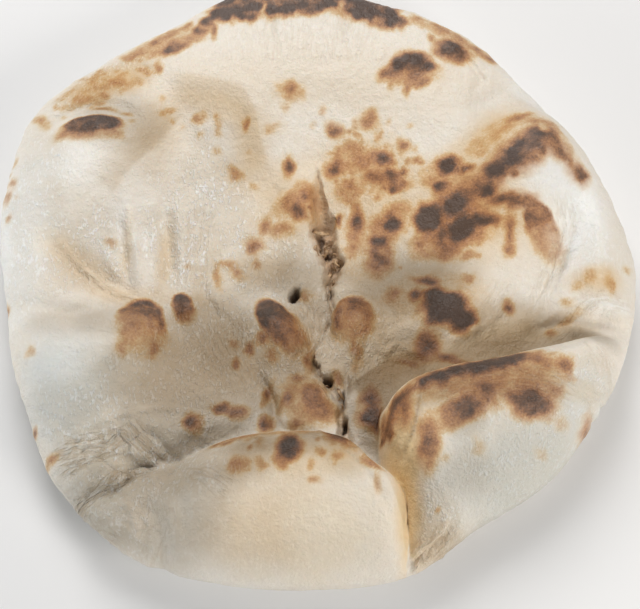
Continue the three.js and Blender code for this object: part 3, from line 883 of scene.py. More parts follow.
toast([
    (80, 56, 4.7, 2.5, 10, 0.48), (89, 52, 5, 2, -10, 0.5), (74, 50, 6, 3.3, 40, 0.26),
    (84, 37, 11, 5.5, 38, 0.5), (94, 40, 3.5, 5, 0, 0.5), (104, 32, 3.6, 4, 30, 0.66),
], skin)
print("hottest so far", round(heat.max(), 2))

# %% [markdown]
# Round the tear the small flaps are scorched on their tops, each by its own spot,
# and the two large blisters beside it have a blister mark each.

# %% Round the tear and over the middle
toast([
    (10, 22, 0.8, 2, -20, 0.7), (17, 22, 2.3, 5.7, 0, 0.76), (31, 20, 3.9, 3.7, 0, 1.05),
    (25, 13, 2.7, 3.3, 0, 0.72), (28, 12, 2, 3.3, 0, 0.57), (25, 5, 4.7, 3.7, -30, 0.62),
    (25, 0, 2.3, 2, 0, 0.45), (27, 16, 6.6, 7, 0, 0.42), (16, 15, 4.4, 8, 0, 0.38),
    (33, 24, 6, 4.6, 0, 0.38), (25, 5, 7, 8, 0, 0.38), (43, 8, 6, 6, 0, 0.34),
    (30, -12, 3.5, 3.3, 0, 0.46), (44, -7, 3.9, 1.6, -20, 0.8), (39, -13, 2.7, 2.5, 0, 0.75),
    (49.5, -20, 8.6, 6.6, -10, 1.0), (56, -25, 5.2, 5, 0, 1.0), (46, -14, 3.9, 3.3, 0, 0.98),
    (43, -33, 5.1, 5.7, 0, 0.6), (50, -39, 5.5, 1.6, -22, 0.6), (59, -8, 2.1, 2.3, 0, 0.47),
    (74, -20, 2.3, 2.5, 0, 0.57), (16, -36, 2.3, 5.7, 0, 0.36), (8.5, -46.5, 1.8, 2.8, 15, 0.5),
    (36, -40, 3.1, 1, -15, 0.5), (21, -55, 3.5, 4.5, 0, 0.66), (21, -62, 5.1, 4.5, 0, 0.74),
    (24, -66, 3.5, 2.5, 0, 0.6), (26, -71, 3.1, 2.5, 0, 0.5),
], skin)
toast([
    (-4, 33, 4.7, 3.3, 0, 0.45), (-10, 27, 7, 4.9, 20, 0.44), (0, 29, 3.1, 6.6, 0, 0.45),
    (-7, 24, 3.2, 3, 0, 0.8), (-4, 29, 2, 2, 0, 0.5), (-2, 25, 1.2, 1.2, 0, 0.66),
    (-6, 21, 3.1, 2, 0, 0.6), (-20, 19, 2.3, 3.7, 0, 0.56), (-13, 17, 4.7, 3.3, 0, 0.42),
    (-24, 11, 3.9, 3.7, 0, 0.56), (-23, 3, 1.2, 2.5, 0, 0.38), (-38, -4, 1.4, 3.7, 10, 0.4),
    (-35, 2, 3.5, 1.6, 0, 0.4), (-31, -2, 3.5, 2, -40, 0.4), (-15, -31, 4.3, 2.5, 0, 0.36),
    (-20, -30, 2.3, 2.5, 0, 0.5), (-25, -34, 1.6, 2, 0, 0.6), (-30, -40, 1.6, 1.6, 0, 0.5),
    (-31, -32, 1.6, 1.6, 0, 0.4), (-2, -39, 2, 4.1, 0, 0.45), (-16, -37, 3.1, 2.5, 0, 0.32),
    (-6, -46, 3.1, 2, 0, 0.45), (-5, -57, 12, 8, -35, 0.28), (-1, -54, 5.5, 6.1, 0, 0.5),
    (3, -60, 6.6, 4.5, -10, 0.54), (-10, -55, 2.3, 5.3, -30, 0.5), (-18, -52, 1.6, 4.1, -20, 0.52),
    (-3, -11, 2.3, 2, 0, 0.36), (-46, -65, 2.9, 3.0, 0, 0.74), (-35, -59, 3.1, 2.3, 0, 0.72),
    (-29, -60, 3.3, 2.3, 0, 0.68), (-18, -65, 2.7, 2.9, 0, 0.68), (-6, -65, 3.5, 2, 0, 0.56),
], skin)
toast_blister((-13, -25), (14, 6.4), -52, 1.0, 0.55, 135, skin)
toast_blister((15, -22), (8.2, 10), 0, 0.66, 0.48, 110, skin)
print("scorched share of the skin:", round((heat > 0.3).mean(), 3))

# %% [markdown]
# The left side has only three blister marks, one of them nearly black, and a few
# faint spots. The lobe on the right has a loose group of pale gold ones.

# %% The left side and the right lobe
toast_blister((-66, -27), (9, 12), 10, 0.78, 0.38, 80, skin)
toast_blister((-51, -18), (4.2, 6.6), 22, 0.8, 0.62, 100, skin)
toast_blister((-88, 53), (12, 4.4), 4, 1.1, 0.75, 90, skin)
toast([
    (-72, -38, 2.4, 3.3, 0, 0.42), (-61, -37, 2.4, 3.3, 0, 0.42), (-79, 6, 1.4, 1.4, 0, 0.36),
    (-49, -1, 1.2, 1.2, 0, 0.26), (-122, 27, 1.6, 2.5, 0, 0.42), (-121, 17, 1.2, 1.6, 0, 0.5),
    (-119, -20, 1.2, 2, 0, 0.6), (-120, 33, 2, 2, 0, 0.42), (-107, -39, 1.6, 1.6, 0, 0.3),
    (-99, 49, 4, 2.2, 30, 0.42), (-79, 49, 3.4, 2.6, -30, 0.42), (-90, 48, 8.6, 2.4, 0, 0.5),
    (-89, 72, 8.6, 2.9, 20, 0.2), (-79, 74, 7.8, 2.9, 15, 0.22), (-84, 62, 3.5, 1.2, -10, 0.46),
    (-96, 66, 1.6, 1.6, 0, 0.32), (-110, 59, 2, 4.1, 40, 0.4), (-75, 60, 1.2, 1.2, 0, 0.36),
    (-73, 56, 0.8, 0.8, 0, 0.3), (-61, 62, 1.4, 1.4, 0, 0.36), (-58, 65, 1.6, 0.8, 30, 0.3),
    (-105, -69, 1.2, 2, 0, 0.6), (-97, -80, 1.2, 3.3, -50, 0.4),
], skin)
toast([
    (104, -11, 2.3, 2.9, 0, 0.24), (112, -14, 2.2, 3.2, 20, 0.3), (100, -14, 2.2, 1.6, 5, 0.2),
    (96, -20, 1.6, 1.6, 0, 0.36), (120, -5, 1.6, 1.6, 0, 0.24), (90, -31, 2, 1.6, 35, 0.36),
    (96, -26, 2.8, 1.2, 40, 0.3), (100, -23, 1.8, 1.2, 30, 0.24),
], skin)
print("scorched share of the skin:", round((heat > 0.3).mean(), 3))

# %% [markdown]
# The pillows' crests met the fire, while their fronts stayed white. These marks
# are laid on the pillows alone, so that none shows on the dish behind a crest.

# %% The front pillows
toast_along([(36, -59), (42, -56), (50, -53), (62, -50), (74, -48)], 4.0, 1.02, top)
toast_along([(26, -76), (27, -68), (31, -61), (38, -57)], 2.2, 0.85, top)
toast_along([(66, -47), (80, -48), (94, -52)], 4.4, 0.66, top)
freckle((68, -58), (28, 8), 8, 60, 0.32, top)
toast([
    (47, -54, 6, 2.2, 16, 0.8), (58, -51, 8, 2.6, 8, 0.92), (71, -47, 8, 2.6, 5, 0.84),
    (59, -57, 11, 4, 12, 0.42), (74, -56, 12, 5.5, 8, 0.38), (50, -60, 7, 2, 18, 0.2),
    (53, -67, 10.5, 5, 28, 0.7), (40, -62, 5, 3.5, 20, 0.2), (61, -60, 4.4, 3.4, 0, 0.56),
    (77, -64, 9.4, 6, 0, 0.74), (40, -79, 4, 8.5, 0, 0.66), (32, -67, 3, 5.6, 0, 0.6),
    (86, -59, 4.3, 2.5, 0, 0.44), (101, -68, 3.5, 5.3, -30, 0.52), (58, -80, 2.2, 2.4, 0, 0.24),
    (46, -85, 1.2, 1.2, 0, 0.2), (81, -80, 1.8, 2.0, 0, 0.24), (89, -70, 2.3, 2, 0, 0.3),
    (43, -101, 0.5, 0.5, 0, 0.4), (66, -60, 20, 7, 10, 0.2),
], top)
toast_along([(-40, -76), (-25, -72), (-8, -71), (5, -72), (14, -75)], 1.2, 0.66, top)
toast([
    (-9, -79, 4.3, 4.9, 0, 1.02), (-12, -84, 2.6, 2.6, 0, 0.5), (-27, -85, 3.6, 2.6, 25, 0.5),
    (9, -76, 5.5, 2.5, -35, 0.74), (8, -83, 2, 1.4, 0, 0.36), (2, -81, 1.2, 1.2, 0, 0.36),
    (0, -91, 1.6, 1.2, 0, 0.38), (-1, -86, 1.2, 1.2, 0, 0.32), (20, -86, 3.5, 1.2, -30, 0.55),
    (22, -93, 1.2, 2.4, 0, 0.36),
], top)
freckle((-2, -82), (26, 8), 0, 18, 0.3, top)
# Two last sprinkles, on the left shoulder and behind it.
freckle((-90, 66), (22, 5), 20, 12, 0.3, skin)
freckle((-44, 58), (24, 9), -20, 7, 0.24, skin)
print("scorched share of the top:", round(float((heat > 0.3).mean()), 3))

# %% [markdown]
# Between the marks the skin isn't one colour either. Where shadow falls, in the
# low middle, behind and between the pillows, beside the tear and on the heel,
# shade is painted on: the skin is made greyer and darker. This tint could be
# painted with a brush, but then it couldn't be changed later by a number. So it
# is made of broad, soft ovals that overlap.

# %% Painted shade
def tint(areas, where=1.0):
    """Soft overlapping ovals, broken up at their edges, from 0 to 1."""
    broken = 0.12 * hills(shaped, 14, 12) + 0.06 * hills(shaped, 5, 13)
    clear = np.ones(len(shaped))
    for x, y, long, short, area_turn, strength in areas:
        out = reach(shaped_x, shaped_y, (x, y), (long, short), area_turn) + broken
        clear *= 1 - strength * (1 - smoothstep(0.3, 1.15, out))
    return where * (1 - clear)


# Painted shade: the skin is made greyer and darker where shadow falls.
painted_shade = tint([
    (-42, -48, 50, 25, 8, 0.66), (-40, -24, 34, 18, 0, 0.6), (0, -38, 34, 34, 0, 0.26),
    (-34, -68, 26, 6, 10, 0.5), (30, -50, 16, 9, 20, 0.7), (22, -54, 12, 14, 0, 0.35),
    (13, -61, 5, 8, 0, 0.5), (-9, -66, 10, 5, 0, 0.4), (-14, -58, 14, 9, 0, 0.35),
    (-20, -2, 15, 11, 0, 0.4), (-4, -18, 14, 10, 0, 0.25), (-62, -70, 16, 10, 0, 0.25),
    (38, -31, 14, 7, 0, 0.6), (60, -40, 56, 11, 8, 0.85), (26, -64, 13, 20, 0, 0.85),
    (34, -8, 34, 22, 0, 0.7), (-64, 50, 10, 20, -10, 0.1), (-30, 50, 18, 16, 0, 0.15),
    (-8, -4, 16, 12, 0, 0.35), (-34, 66, 26, 8, -14, 0.05), (-40, -32, 22, 16, 0, 0.3),
    (36, -6, 22, 14, 0, 0.45), (76, -26, 24, 12, 0, 0.45), (58, -31, 12, 5, 0, 0.25),
    (-4, -2, 18, 16, 0, 0.3), (-92, -28, 20, 8, 0, 0.3), (-78, 56, 22, 18, 0, 0.42),
    (-76, -26, 18, 10, 0, 0.35), (-44, 60, 20, 12, -30, 0.1),
], skin)
painted_shade += tint([
    (-80, -98, 34, 22, 30, 0.4), (-98, -66, 20, 30, 20, 0.18), (-48, -100, 22, 24, 0, 0.5),
    (-34, -84, 34, 13, 14, 0.35), (104, -35, 13, 6, -20, 0.5),
])
painted_shade += tint([
    (-8, -77, 34, 7, 0, 0.5), (2, -75, 20, 4, 0, 0.3), (56, -111, 16, 8, 30, 0.35),
    (-22, -84, 22, 8, 10, 0.2), (10, -84, 12, 8, -35, 0.2), (54, -72, 10, 6, 20, 0.35),
    (52, -120, 36, 10, 30, 0.35), (42, -100, 10, 14, 0, 0.1), (54, -88, 12, 12, 0, 0.25),
    (40, -60, 16, 8, 20, 0.3), (64, -58, 32, 10, 8, 0.35), (104, -80, 36, 8, 45, 0.25),
    (90, -112, 26, 10, 30, 0.3),
], pillow)
print("dense up to", round(painted_shade.max(), 2))

# %% [markdown]
# Elsewhere the dough is tinted gold, most of all in the hollows behind the
# shoulder, the bubble and the right pillow, and in the crease between the pillows.
# Round the bubble and in the crease it is a stain of steam and fat. Behind the
# shoulder and the right pillow, and in the left hollow, the gold is painted shade:
# it darkens and warms the skin where shadow falls. The pillows' ovals are a list
# of their own, so that none of them runs over onto the dish.

# %% Golden stains and painted shade
# Gold stains, and painted shade in the hollows behind the shoulder and the right pillow.
gold_and_shade = tint([
    (-36, -34, 36, 26, 0, 0.1), (30, -30, 16, 12, 0, 0.3), (28, -50, 16, 10, 20, 0.3),
    (-88, -4, 26, 8, -35, 0.4), (-62, 56, 14, 22, -10, 0.25), (-84, 74, 24, 10, 15, 0.6),
    (62, -37, 50, 12, 8, 0.65), (16, -24, 32, 44, 0, 0.3), (18, 34, 32, 26, 0, 0.45),
    (-12, 22, 18, 18, 0, 0.35), (-73, 6, 3, 15, -4, 0.4), (-59, 4, 4, 18, -4, 0.4),
    (-62, -14, 30, 5, 0, 0.3), (-36, -40, 50, 26, 8, 0.2), (-38, 66, 26, 7, -14, 0.32),
    (-84, 78, 28, 9, 25, 0.4), (-26, 52, 10, 14, 0, 0.3), (54, 26, 28, 24, -10, 0.35),
    (72, -26, 24, 10, 0, 0.4), (0, 76, 80, 26, 0, 0.18), (52, -14, 24, 12, 0, 0.4),
    (107, -12, 13, 7, 0, 0.6), (62, 14, 38, 24, 0, 0.4), (-18, 38, 22, 12, 0, 0.35),
    (-20, 1, 14, 10, 0, 0.4), (69, 50, 22, 12, 40, 0.65),
], skin)
gold_and_shade += tint([
    (-2, -108, 46, 26, 0, 0.5), (34, -66, 12, 10, 0, 0.4), (31, -80, 9, 20, 10, 0.95),
    (33, -104, 6, 24, 0, 0.8), (-8, -84, 32, 9, 0, 0.45), (46, -114, 14, 14, 30, 0.3),
    (60, -56, 34, 9, 10, 0.25), (-4, -77, 40, 8, 0, 0.3), (12, -84, 12, 8, -35, 0.3),
    (98, -58, 12, 5, 10, 0.3),
], pillow)
print("golden up to", round(gold_and_shade.max(), 2))

# %% [markdown]
# Where the bread puffed up, its skin dried first and kept the white of its flour.
# The same white is also painted light: a highlight on top of the right shoulder,
# and lighter patches on the bubble's right side, the left rim and the crease
# between the pillows, which would otherwise lie in shade. A cool grey is painted
# shade on the left cheek, the heel and the right pillow's face. As two tints,
# each can be given a colour of its own.

# %% Flour white with painted light, and painted cool shade
# Flour white, partly painted light: a highlight, and lighter patches where shade falls.
flour_and_light = tint([
    (88, 26, 22, 12, -30, 0.9), (100, 18, 18, 28, 12, 0.9), (-94, -52, 22, 24, 0, 0.8),
    (86, 74, 16, 7, -40, 0.5), (96, 4, 8, 12, 0, 0.4), (-46, 26, 20, 18, 0, 0.4),
    (-70, 14, 12, 20, 0, 0.3), (-24, 6, 14, 16, 0, 0.3), (0, 92, 60, 16, 0, 0.2),
    (-2, 63, 26, 8, 0, 0.4), (-62, 8, 26, 16, 0, 0.3), (110, -21, 14, 3.5, 0, 0.6),
    (-114, 10, 16, 44, 0, 0.8), (-96, 36, 22, 14, 0, 0.5), (-82, 4, 14, 18, 0, 0.4),
], skin)
flour_and_light += tint([
    (-6, -128, 54, 14, 0, 0.7), (10, -108, 26, 22, 0, 0.8), (84, -84, 46, 30, 20, 0.35),
    (102, -62, 16, 16, 20, 0.6), (31, -82, 8, 18, 10, 1.0), (33, -104, 5, 24, 0, 0.9),
], pillow)
# Painted cool shade on the left cheek, the heel and the right pillow's face.
painted_cool_shade = tint([
    (-90, -52, 28, 24, 0, 0.8), (-70, -74, 30, 14, 10, 0.4), (104, -46, 18, 12, -20, 0.5),
    (-86, -96, 34, 22, 25, 0.5), (44, -4, 24, 12, 0, 0.2),
], skin)
painted_cool_shade += tint([
    (74, -86, 44, 24, 22, 1.0), (102, -62, 22, 18, 20, 0.6), (-50, -100, 18, 22, 0, 0.3),
], pillow)
print("floury up to", round(flour_and_light.max(), 2), "and ashen up to", round(painted_cool_shade.max(), 2))

# %% [markdown]
# In three places a shadow with a crisp edge is painted on the skin: below the
# back dome's lip, beside the shoulder, and in front of the middle flaps. Ovals are
# soft all round, so these painted shadows begin at a line and fade away on one
# side of it. Each one is added to the painted shade and to the gold tint.

# %% Painted shadows that begin at a line
def shadow_along_line(through, even_to, fades_by):
    """A painted shadow that begins crisply on the right of a line and fades away from it."""
    distance, along = beside(shaped_x, shaped_y, smooth_line(through))
    strip = smoothstep(0, 1.5, -distance) * (1 - smoothstep(even_to, fades_by, -distance))
    return skin * strip * smoothstep(0, 0.15, along) * smoothstep(0, 0.1, 1 - along)


# Painted shadows below the lip, beside the shoulder and in front of the flaps.
shadow_under_lip = shadow_along_line(FOLDS["back dome's lip"][0], 4, 17)
shadow_beside_shoulder = shadow_along_line([(-52, 66), (-60, 51), (-66, 42), (-73, 32), (-78, 22)], 3, 16)
shadow_below_flaps = shadow_along_line([(11, -49), (22, -41), (32, -35), (44, -36)], 3, 12)
painted_shade += 0.08 * shadow_under_lip + 0.2 * shadow_beside_shoulder + 0.4 * shadow_below_flaps
gold_and_shade += 0.22 * shadow_under_lip + 0.2 * shadow_beside_shoulder + 0.2 * shadow_below_flaps
print("dense up to", round(painted_shade.max(), 2), "and golden up to", round(gold_and_shade.max(), 2))

# %% [markdown]
# Now the skin can be made. It is one mesh that keeps one number for each point
# and each finish, so no image has to be wrapped round it, and the marks stay in
# their places wherever the bread is put.

# %% Make the bread
def add_object(name, data):
    """Puts a mesh, a lamp or a camera into the scene."""
    thing = bpy.data.objects.new(name, data)
    bpy.context.collection.objects.link(thing)
    return thing


def add_mesh(name, places, faces):
    """A smooth mesh from places in millimetres, set round the bread's middle."""
    mesh = bpy.data.meshes.new(name)
    mesh.from_pydata(((places - np.array(MIDDLE)) * MM).tolist(), [], faces)
    mesh.shade_smooth()
    return add_object(name, mesh)


base_centre = [[0, 0, 0]]
faces = [tuple(map(int, quad)) for block in quads for quad in block] + fan
naan_skin = add_mesh("naan_skin", np.concatenate([shaped, *under_points, base_centre]), faces)
# Several of these numbers are painted light and shade, kept on the points.
PAINTED = {
    "toasting": heat, "torn": torn, "hole_shade": hole_shade, "crinkled": crinkled,
    "pleated": pleated, "pleat_across": pleat_across, "pleat_along": pleat_along,
    "painted_shade": np.clip(painted_shade, 0, 1), "gold_and_shade": np.clip(gold_and_shade, 0, 1),
    "flour_and_light": np.clip(flour_and_light, 0, 1), "painted_cool_shade": np.clip(painted_cool_shade, 0, 1),
}
for name, values in PAINTED.items():
    every_point = np.zeros(len(naan_skin.data.vertices), np.float32)
    every_point[:values.size] = values.ravel()
    layer = naan_skin.data.attributes.new(name, "FLOAT", "POINT")
    layer.data.foreach_set("value", every_point)
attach(naan_skin, "root")
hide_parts("naan")
print("triangles:", sum(len(f) - 2 for f in faces))

# %% [markdown]
# Where the skin tore, threads and flakes of crumb stick out of the split. They
# are too thin and curly to be drawn out of the sheet. So each is a short tube of
# its own that starts below the skin, bends over and tapers. A flake is the same
# tube, wide and flattened.

# %% The shape of one thread
THREAD_SIDES, THREAD_STEPS = 6, 9
SUNK = 0.6
ARCH_SHARE, ARCH_MOST = 0.45, 2.2


def ground(x, y):
    """The skin's height at a place."""
    nearest = np.argmin((shaped_x - x) ** 2 + (shaped_y - y) ** 2)
    return shaped[nearest, 2]


def thread(x, y, bearing, length, thick, curl, flatness):
    """Rings of points for one curled thread or flake that tapers at both ends."""
    share = np.linspace(0, 1, THREAD_STEPS)
    heading = bearing + curl * share
    step = length / THREAD_STEPS
    path_x = x + np.cumsum(np.cos(heading) * step)
    path_y = y + np.cumsum(np.sin(heading) * step)
    arch = min(ARCH_SHARE * length, ARCH_MOST) * np.sin(math.pi * share) ** 0.8
    path_z = ground(x, y) - SUNK + thick * flatness + arch
    rings = []
    for px, py, pz, facing, s in zip(path_x, path_y, path_z, heading, share):
        radius = thick * (0.35 + 0.65 * math.sin(math.pi * (0.15 + 0.7 * s)))
        for side in np.linspace(0, math.tau, THREAD_SIDES, endpoint=False):
            out, rise = radius * math.cos(side), flatness * radius * math.sin(side)
            rings.append((px - out * math.sin(facing), py + out * math.cos(facing), pz + rise))
    return rings


print("a thread has", THREAD_SIDES * THREAD_STEPS, "points")

# %% [markdown]
# Each hole in the tear has a few threads, with a random bearing, length and curl.
# The flakes are larger, so a wrong one would show, and they are listed one by one.

# %% Crumb threads in the tear
# Each thread is a place, a bearing, a length, a half width, a curl and a flatness.
shapes = []
for at, size, _, _, threads in HOLES:
    for _ in range(threads):
        x = at[0] + rng.uniform(-0.6, 0.6) * size[0]
        y = at[1] + rng.uniform(-0.8, 0.8) * size[1]
        bearing, length = rng.uniform(0, math.tau), rng.uniform(2.5, 5.5)
        thick, curl = rng.uniform(0.3, 0.6), rng.uniform(-2.5, 2.5)
        shapes.append((x, y, bearing, length, thick, curl, 0.6))
FLAKES = [
    (-1, 19, 5.2, 8, 1.0, 1.6, 0.35), (1, 14, 4.2, 8, 0.9, 1.2, 0.35),
    (3, 13, 5.8, 6, 0.8, -2.2, 0.4), (4, 9, 4.4, 7, 0.9, 2.0, 0.35), (8, 6, 3.6, 5, 0.7, 2.6, 0.4),
    (6, 3, 4.9, 7, 0.8, -1.0, 0.35), (9, 9, 5.0, 5, 0.7, 1.5, 0.4),
    (6, -47, 1.0, 6, 0.8, -2.4, 0.35), (9, -49, 4.6, 6, 0.7, 1.0, 0.35),
]
thread_points, thread_faces = [], []
for shape in shapes + FLAKES:
    start = len(thread_points)
    thread_points += thread(*shape)
    for ring in range(THREAD_STEPS - 1):
        for side in range(THREAD_SIDES):
            a = start + ring * THREAD_SIDES + side
            b = start + ring * THREAD_SIDES + (side + 1) % THREAD_SIDES
            thread_faces.append((a, b, b + THREAD_SIDES, a + THREAD_SIDES))
    thread_faces.append(tuple(range(start + THREAD_SIDES - 1, start - 1, -1)))
    last = start + (THREAD_STEPS - 1) * THREAD_SIDES
    thread_faces.append(tuple(range(last, last + THREAD_SIDES)))
crumb_threads = add_mesh("crumb_threads", thread_points, thread_faces)
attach(crumb_threads, "root")
print("threads:", len(thread_faces), "faces")

# %% [markdown]
# ## The crust's finish
#
# The finish is worked out by small nodes that pass numbers on. A few helpers make
# one in a single word: `times`, `plus` and `minus` calculate, `read` fetches a
# number that was painted on the mesh, and `grain` is noise with a size in
# millimetres.

# %% Tools for finishes
def new_material(name):
    """A material with its nodes, its links and its shader."""
    material = bpy.data.materials.new(name)
    material.use_nodes = True
    tree = material.node_tree
    return material, tree.nodes, tree.links, tree.nodes["Principled BSDF"]


def make(kind, **settings):
    node = nodes.new(kind)
    for key, value in settings.items():
        setattr(node, key, value)
    return node


def tune(node, settings):
    """Gives plain values to a node's inputs."""
    for name, value in settings.items():
        node.inputs[name].default_value = value


def read(name):
    return make("ShaderNodeAttribute", attribute_name=name).outputs["Fac"]


def grain(size_mm, detail=2.0, roughness=0.5, where=None):
    """Noise from 0 to 1 whose grains are that many millimetres across."""
    node = make("ShaderNodeTexNoise")
    links.new(where or place, node.inputs["Vector"])
    tune(node, {"Scale": 1 / (size_mm * MM), "Detail": detail, "Roughness": roughness})
    return node.outputs["Fac"]


def calculate(operation, a, b, clamp=False):
    node = make("ShaderNodeMath", operation=operation, use_clamp=clamp)
    for socket, value in zip(node.inputs, (a, b)):
        if isinstance(value, (int, float)):
            socket.default_value = value
        else:
            links.new(value, socket)
    return node.outputs[0]


def times(a, b, clamp=False):
    return calculate("MULTIPLY", a, b, clamp)


def plus(a, b, clamp=False):
    return calculate("ADD", a, b, clamp)


def minus(a, b, clamp=False):
    return calculate("SUBTRACT", a, b, clamp)


crust, nodes, links, shader = new_material("crust")
place = make("ShaderNodeTexCoord").outputs["Object"]
print("tools for finishes ready")

# %% [markdown]
# The colour follows the heat, through a ramp from straw to char. Real scorching
# is speckled, because the tiny hills of the skin burn first. So a fine and a
# coarse noise are added before the ramp, but only where there is some heat. The
# colours are written from 0 to 255, and `display` turns them into light.

# %% Colours of the heat
def display(red, green, blue):
    """A colour as a screen shows it, 0 to 255, turned into light."""
    return [((c / 255 + 0.055) / 1.055) ** 2.4 for c in (red, green, blue)] + [1.0]


TOAST = [
    (0.0, (238, 230, 217)), (0.1, (234, 220, 198)), (0.2, (225, 200, 162)),
    (0.35, (211, 174, 130)), (0.5, (195, 149, 107)), (0.65, (166, 123, 92)),
    (0.8, (128, 97, 77)), (1.0, (90, 73, 64)),
]
ramp = make("ShaderNodeValToRGB")
stops = ramp.color_ramp.elements
stops.remove(stops[1])
for index, (position, colour) in enumerate(TOAST):
    stop = stops[0] if index == 0 else stops.new(position)
    stop.color = display(*colour)

speckle = minus(grain(0.9, 3, 0.6), 0.5)
mottle = minus(grain(4.5, 3), 0.5)
warm = calculate("MINIMUM", times(read("toasting"), 4.0), 1.0)
unevenness = plus(times(speckle, 0.5), times(mottle, 0.42))
uneven_heat = plus(read("toasting"), times(unevenness, warm))
links.new(plus(uneven_heat, times(mottle, 0.1), True), ramp.inputs["Fac"])
print("ramp with", len(TOAST), "colours")

# %% [markdown]
# On crinkled skin, groups of short bright strokes are painted as glints, and the
# same strokes are raised a little in the bump. They are the tops of a noise
# stretched along the bread. Between the mesh's pleats lie finer ones, with dark
# valleys and bright crests: noise again, but measured across and along the guide
# lines, so that it bends as they do. The valleys get painted shade and the crests
# painted highlights, besides their bump.

# %% Strokes and fine pleats
stretched = make("ShaderNodeMapping")
links.new(place, stretched.inputs["Vector"])
tune(stretched, {"Scale": (1.0, 0.5, 1.0), "Rotation": (0, 0, math.radians(12))})
stroke_noise = grain(1.1, 2, 0.6, stretched.outputs["Vector"])
grouped = times(minus(grain(9, 2), 0.5), 0.35)
strokes = times(plus(minus(stroke_noise, 0.53), grouped), 8.0, True)
# Painted glints: bright strokes on crinkled skin, lightening its colour.
painted_glints = times(strokes, read("crinkled"))

drawn_out = make("ShaderNodeCombineXYZ")
links.new(times(read("pleat_across"), MM), drawn_out.inputs["X"])
links.new(times(read("pleat_along"), 0.26 * MM), drawn_out.inputs["Y"])
from_middle = minus(grain(2.6, 2, 0.55, drawn_out.outputs["Vector"]), 0.5)
# Below, the pleats' valleys carry painted shade and their crests painted highlights.
valley = minus(1.0, times(calculate("ABSOLUTE", from_middle, 0.0), 10.0), True)
shaded_valleys = times(valley, read("pleated"))
crest = minus(grain(1.1, 2, 0.5, drawn_out.outputs["Vector"]), 0.56)
lit_crests = times(times(crest, 9.0, True), read("pleated"))
print("nodes so far:", len(nodes))

# %% [markdown]
# The tints are laid over the heat's colour one after another, as glazes are.
# Flour white, which is also painted light, and the painted highlights on the
# bright strokes and the pleats' crests cover what is below, so they are mixed in.
# Painted shade in the pleats' valleys, the dull skin, the gold with its painted
# shade, the painted cool shade and the painted shade of the low middle let it show
# through, so those multiply it. The torn crumb and the painted shade inside the
# holes come last.

# %% Layers of colour
def blend_colour(below, amount, colour, how):
    """Lays a colour over the one below by an amount from 0 to 1."""
    node = make("ShaderNodeMix", data_type="RGBA", blend_type=how)
    links.new(amount, node.inputs["Factor"])
    links.new(below, node.inputs[6])
    node.inputs[7].default_value = display(*colour)
    return node.outputs[2]


pale = minus(1.0, times(read("toasting"), 1.6), True)
dull = times(minus(read("crinkled"), painted_glints), 0.68)
# Painted highlights: flour white in part, strokes, crests. Painted shade: valleys, gold in part,
# cool grey, low middle, holes.
LAYERS = [
    (times(read("flour_and_light"), pale), (250, 250, 247), "MIX"),
    (dull, (232, 223, 209), "MULTIPLY"),
    (times(times(painted_glints, pale), 0.48), (255, 253, 250), "MIX"),
    (times(shaded_valleys, 0.6), (208, 190, 164), "MULTIPLY"),
    (times(times(lit_crests, pale), 0.5), (252, 248, 240), "MIX"),
    (read("gold_and_shade"), (242, 214, 166), "MULTIPLY"),
    (times(read("painted_cool_shade"), pale), (225, 229, 230), "MULTIPLY"),
    (read("painted_shade"), (164, 152, 133), "MULTIPLY"),
    (times(read("torn"), 0.75), (198, 162, 124), "MIX"),
    (times(read("hole_shade"), 0.85), (84, 58, 38), "MIX"),
]
colour = ramp.outputs["Color"]
for amount, tint_colour, how in LAYERS:
    colour = blend_colour(colour, amount, tint_colour, how)
links.new(colour, shader.inputs["Base Color"])
print(len(LAYERS), "layers of colour")

# %% [markdown]
# Baked flour is a little see-through, so some light goes in and comes out again
# nearby: that is subsurface scattering, kept weak. A trace of fat gives a soft,
# uneven sheen. The last grain is bump, as it is too fine to change any outline.

# %% Sheen, depth and grain
tune(shader, {
    "Subsurface Weight": 0.12, "Subsurface Radius": (1.0, 0.6, 0.35),
    "Subsurface Scale": 0.003, "Specular IOR Level": 0.5,
})
links.new(plus(times(grain(3, 2), 0.3), 0.3), shader.inputs["Roughness"])


def roughen(height, strength, distance_mm):
    """Bends the light on the surface as if it had that relief."""
    bump = make("ShaderNodeBump")
    tune(bump, {"Strength": strength, "Distance": distance_mm * MM})
    links.new(height, bump.inputs["Height"])
    links.new(bump.outputs["Normal"], shader.inputs["Normal"])


fine = plus(times(grain(0.9, 3, 0.6), 0.7), grain(2.4, 2))
raised = times(strokes, times(read("crinkled"), 0.5))
raised = plus(raised, times(minus(lit_crests, shaded_valleys), 0.6))
roughen(plus(fine, raised), 0.8, 0.8)
naan_skin.data.materials.append(crust)
print("crust:", len(nodes), "nodes")

# %% [markdown]
# The torn crumb is toasted unevenly, from tan to brown, and it is rougher than
# the skin. It needs no painted marks, so one noise through a ramp of two colours
# is enough.

# %% Crumb material
crumb, nodes, links, shader = new_material("toasted_crumb")
place = make("ShaderNodeTexCoord").outputs["Object"]
browned = make("ShaderNodeValToRGB")
dark, light = browned.color_ramp.elements
dark.position = 0.35
light.position = 0.65
dark.color = display(110, 78, 54)
light.color = display(206, 174, 134)
links.new(grain(2.5, 3), browned.inputs["Fac"])
links.new(browned.outputs["Color"], shader.inputs["Base Color"])
tune(shader, {"Roughness": 0.55})
roughen(grain(0.4, 2), 0.5, 0.2)
crumb_threads.data.materials.append(crumb)
print("crumb:", len(nodes), "nodes")

# %% [markdown]
# ## Floor, light and camera
#
# The bread lies on a plain, pale and matt floor. The floor is only a stage, so it
# isn't part of the model.

# %% Floor
bpy.ops.mesh.primitive_plane_add(size=6)
floor = bpy.context.object
floor.name = "floor"
plain, nodes, links, shader = new_material("plain_floor")
tune(shader, {"Base Color": (0.87, 0.87, 0.87, 1), "Roughness": 0.9})
floor.data.materials.append(plain)
print("floor ready")

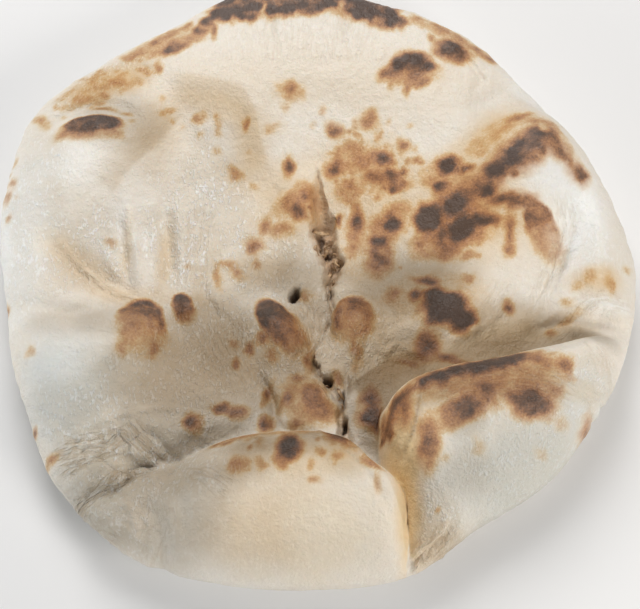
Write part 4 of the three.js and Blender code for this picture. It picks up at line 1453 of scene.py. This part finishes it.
# %% [markdown]
# Relief is seen best in light that grazes it. A slightly warm key light stands
# low at the front right. A large one high at the back lights the rim and the
# dome, and a cool one low on the left, like a window, keeps that side from going
# dark. A dim room fills the shadows.

# %% Lights
# Where each lamp stands, its width, its power and its colour.
LIGHTS = {
    "key": ((0.5, -0.42, 0.36), 0.3, 3.0, (1.0, 0.97, 0.93)),
    "back": ((-0.09, 0.47, 0.57), 0.4, 3.8, (1.0, 0.98, 0.96)),
    "left": ((-0.7, -0.25, 0.18), 0.35, 2.3, (0.93, 0.97, 1.0)),
}
AIMED_AT = Vector((0, 0, 0.02))
for name, (at, size, power, colour) in LIGHTS.items():
    lamp = bpy.data.lights.new(name, "AREA")
    lamp.size = size
    lamp.energy = power
    lamp.color = colour
    stand = add_object(name, lamp)
    stand.location = at
    stand.rotation_mode = "QUATERNION"
    stand.rotation_quaternion = (Vector(at) - AIMED_AT).to_track_quat("Z", "Y")

world = bpy.data.worlds.new("soft_room")
world.use_nodes = True
tune(world.node_tree.nodes["Background"], {"Color": (0.95, 0.97, 1, 1), "Strength": 0.16})
scene = bpy.context.scene
scene.world = world
scene.view_settings.view_transform = "Standard"
print(len(LIGHTS), "lights")

# %% [markdown]
# The camera looks down steeply, as a person does who stands at the table, from
# half a metre away. The lens follows from how wide a strip of the bread has to
# fill the frame at that distance. A small shift moves the bread in the frame
# without turning the camera.

# %% Camera
ELEVATION = math.radians(68)
DISTANCE = 500
SEEN_WIDTH = 248.5
SENSOR_WIDTH = 36
LOOK_AT = Vector((1.8, -14.6, 16.0))
back = Vector((0, -math.cos(ELEVATION), math.sin(ELEVATION)))
lens = bpy.data.cameras.new("camera")
lens.sensor_width = SENSOR_WIDTH
lens.lens = SENSOR_WIDTH * DISTANCE / SEEN_WIDTH
lens.shift_x = 0.00078125
lens.shift_y = -0.00703125
camera = add_object("camera", lens)
camera.location = (LOOK_AT + DISTANCE * back - MIDDLE) * MM
camera.rotation_mode = "QUATERNION"
camera.rotation_quaternion = (-back).to_track_quat("-Z", "Y")
scene.camera = camera
print("camera at", [round(v, 3) for v in camera.location])
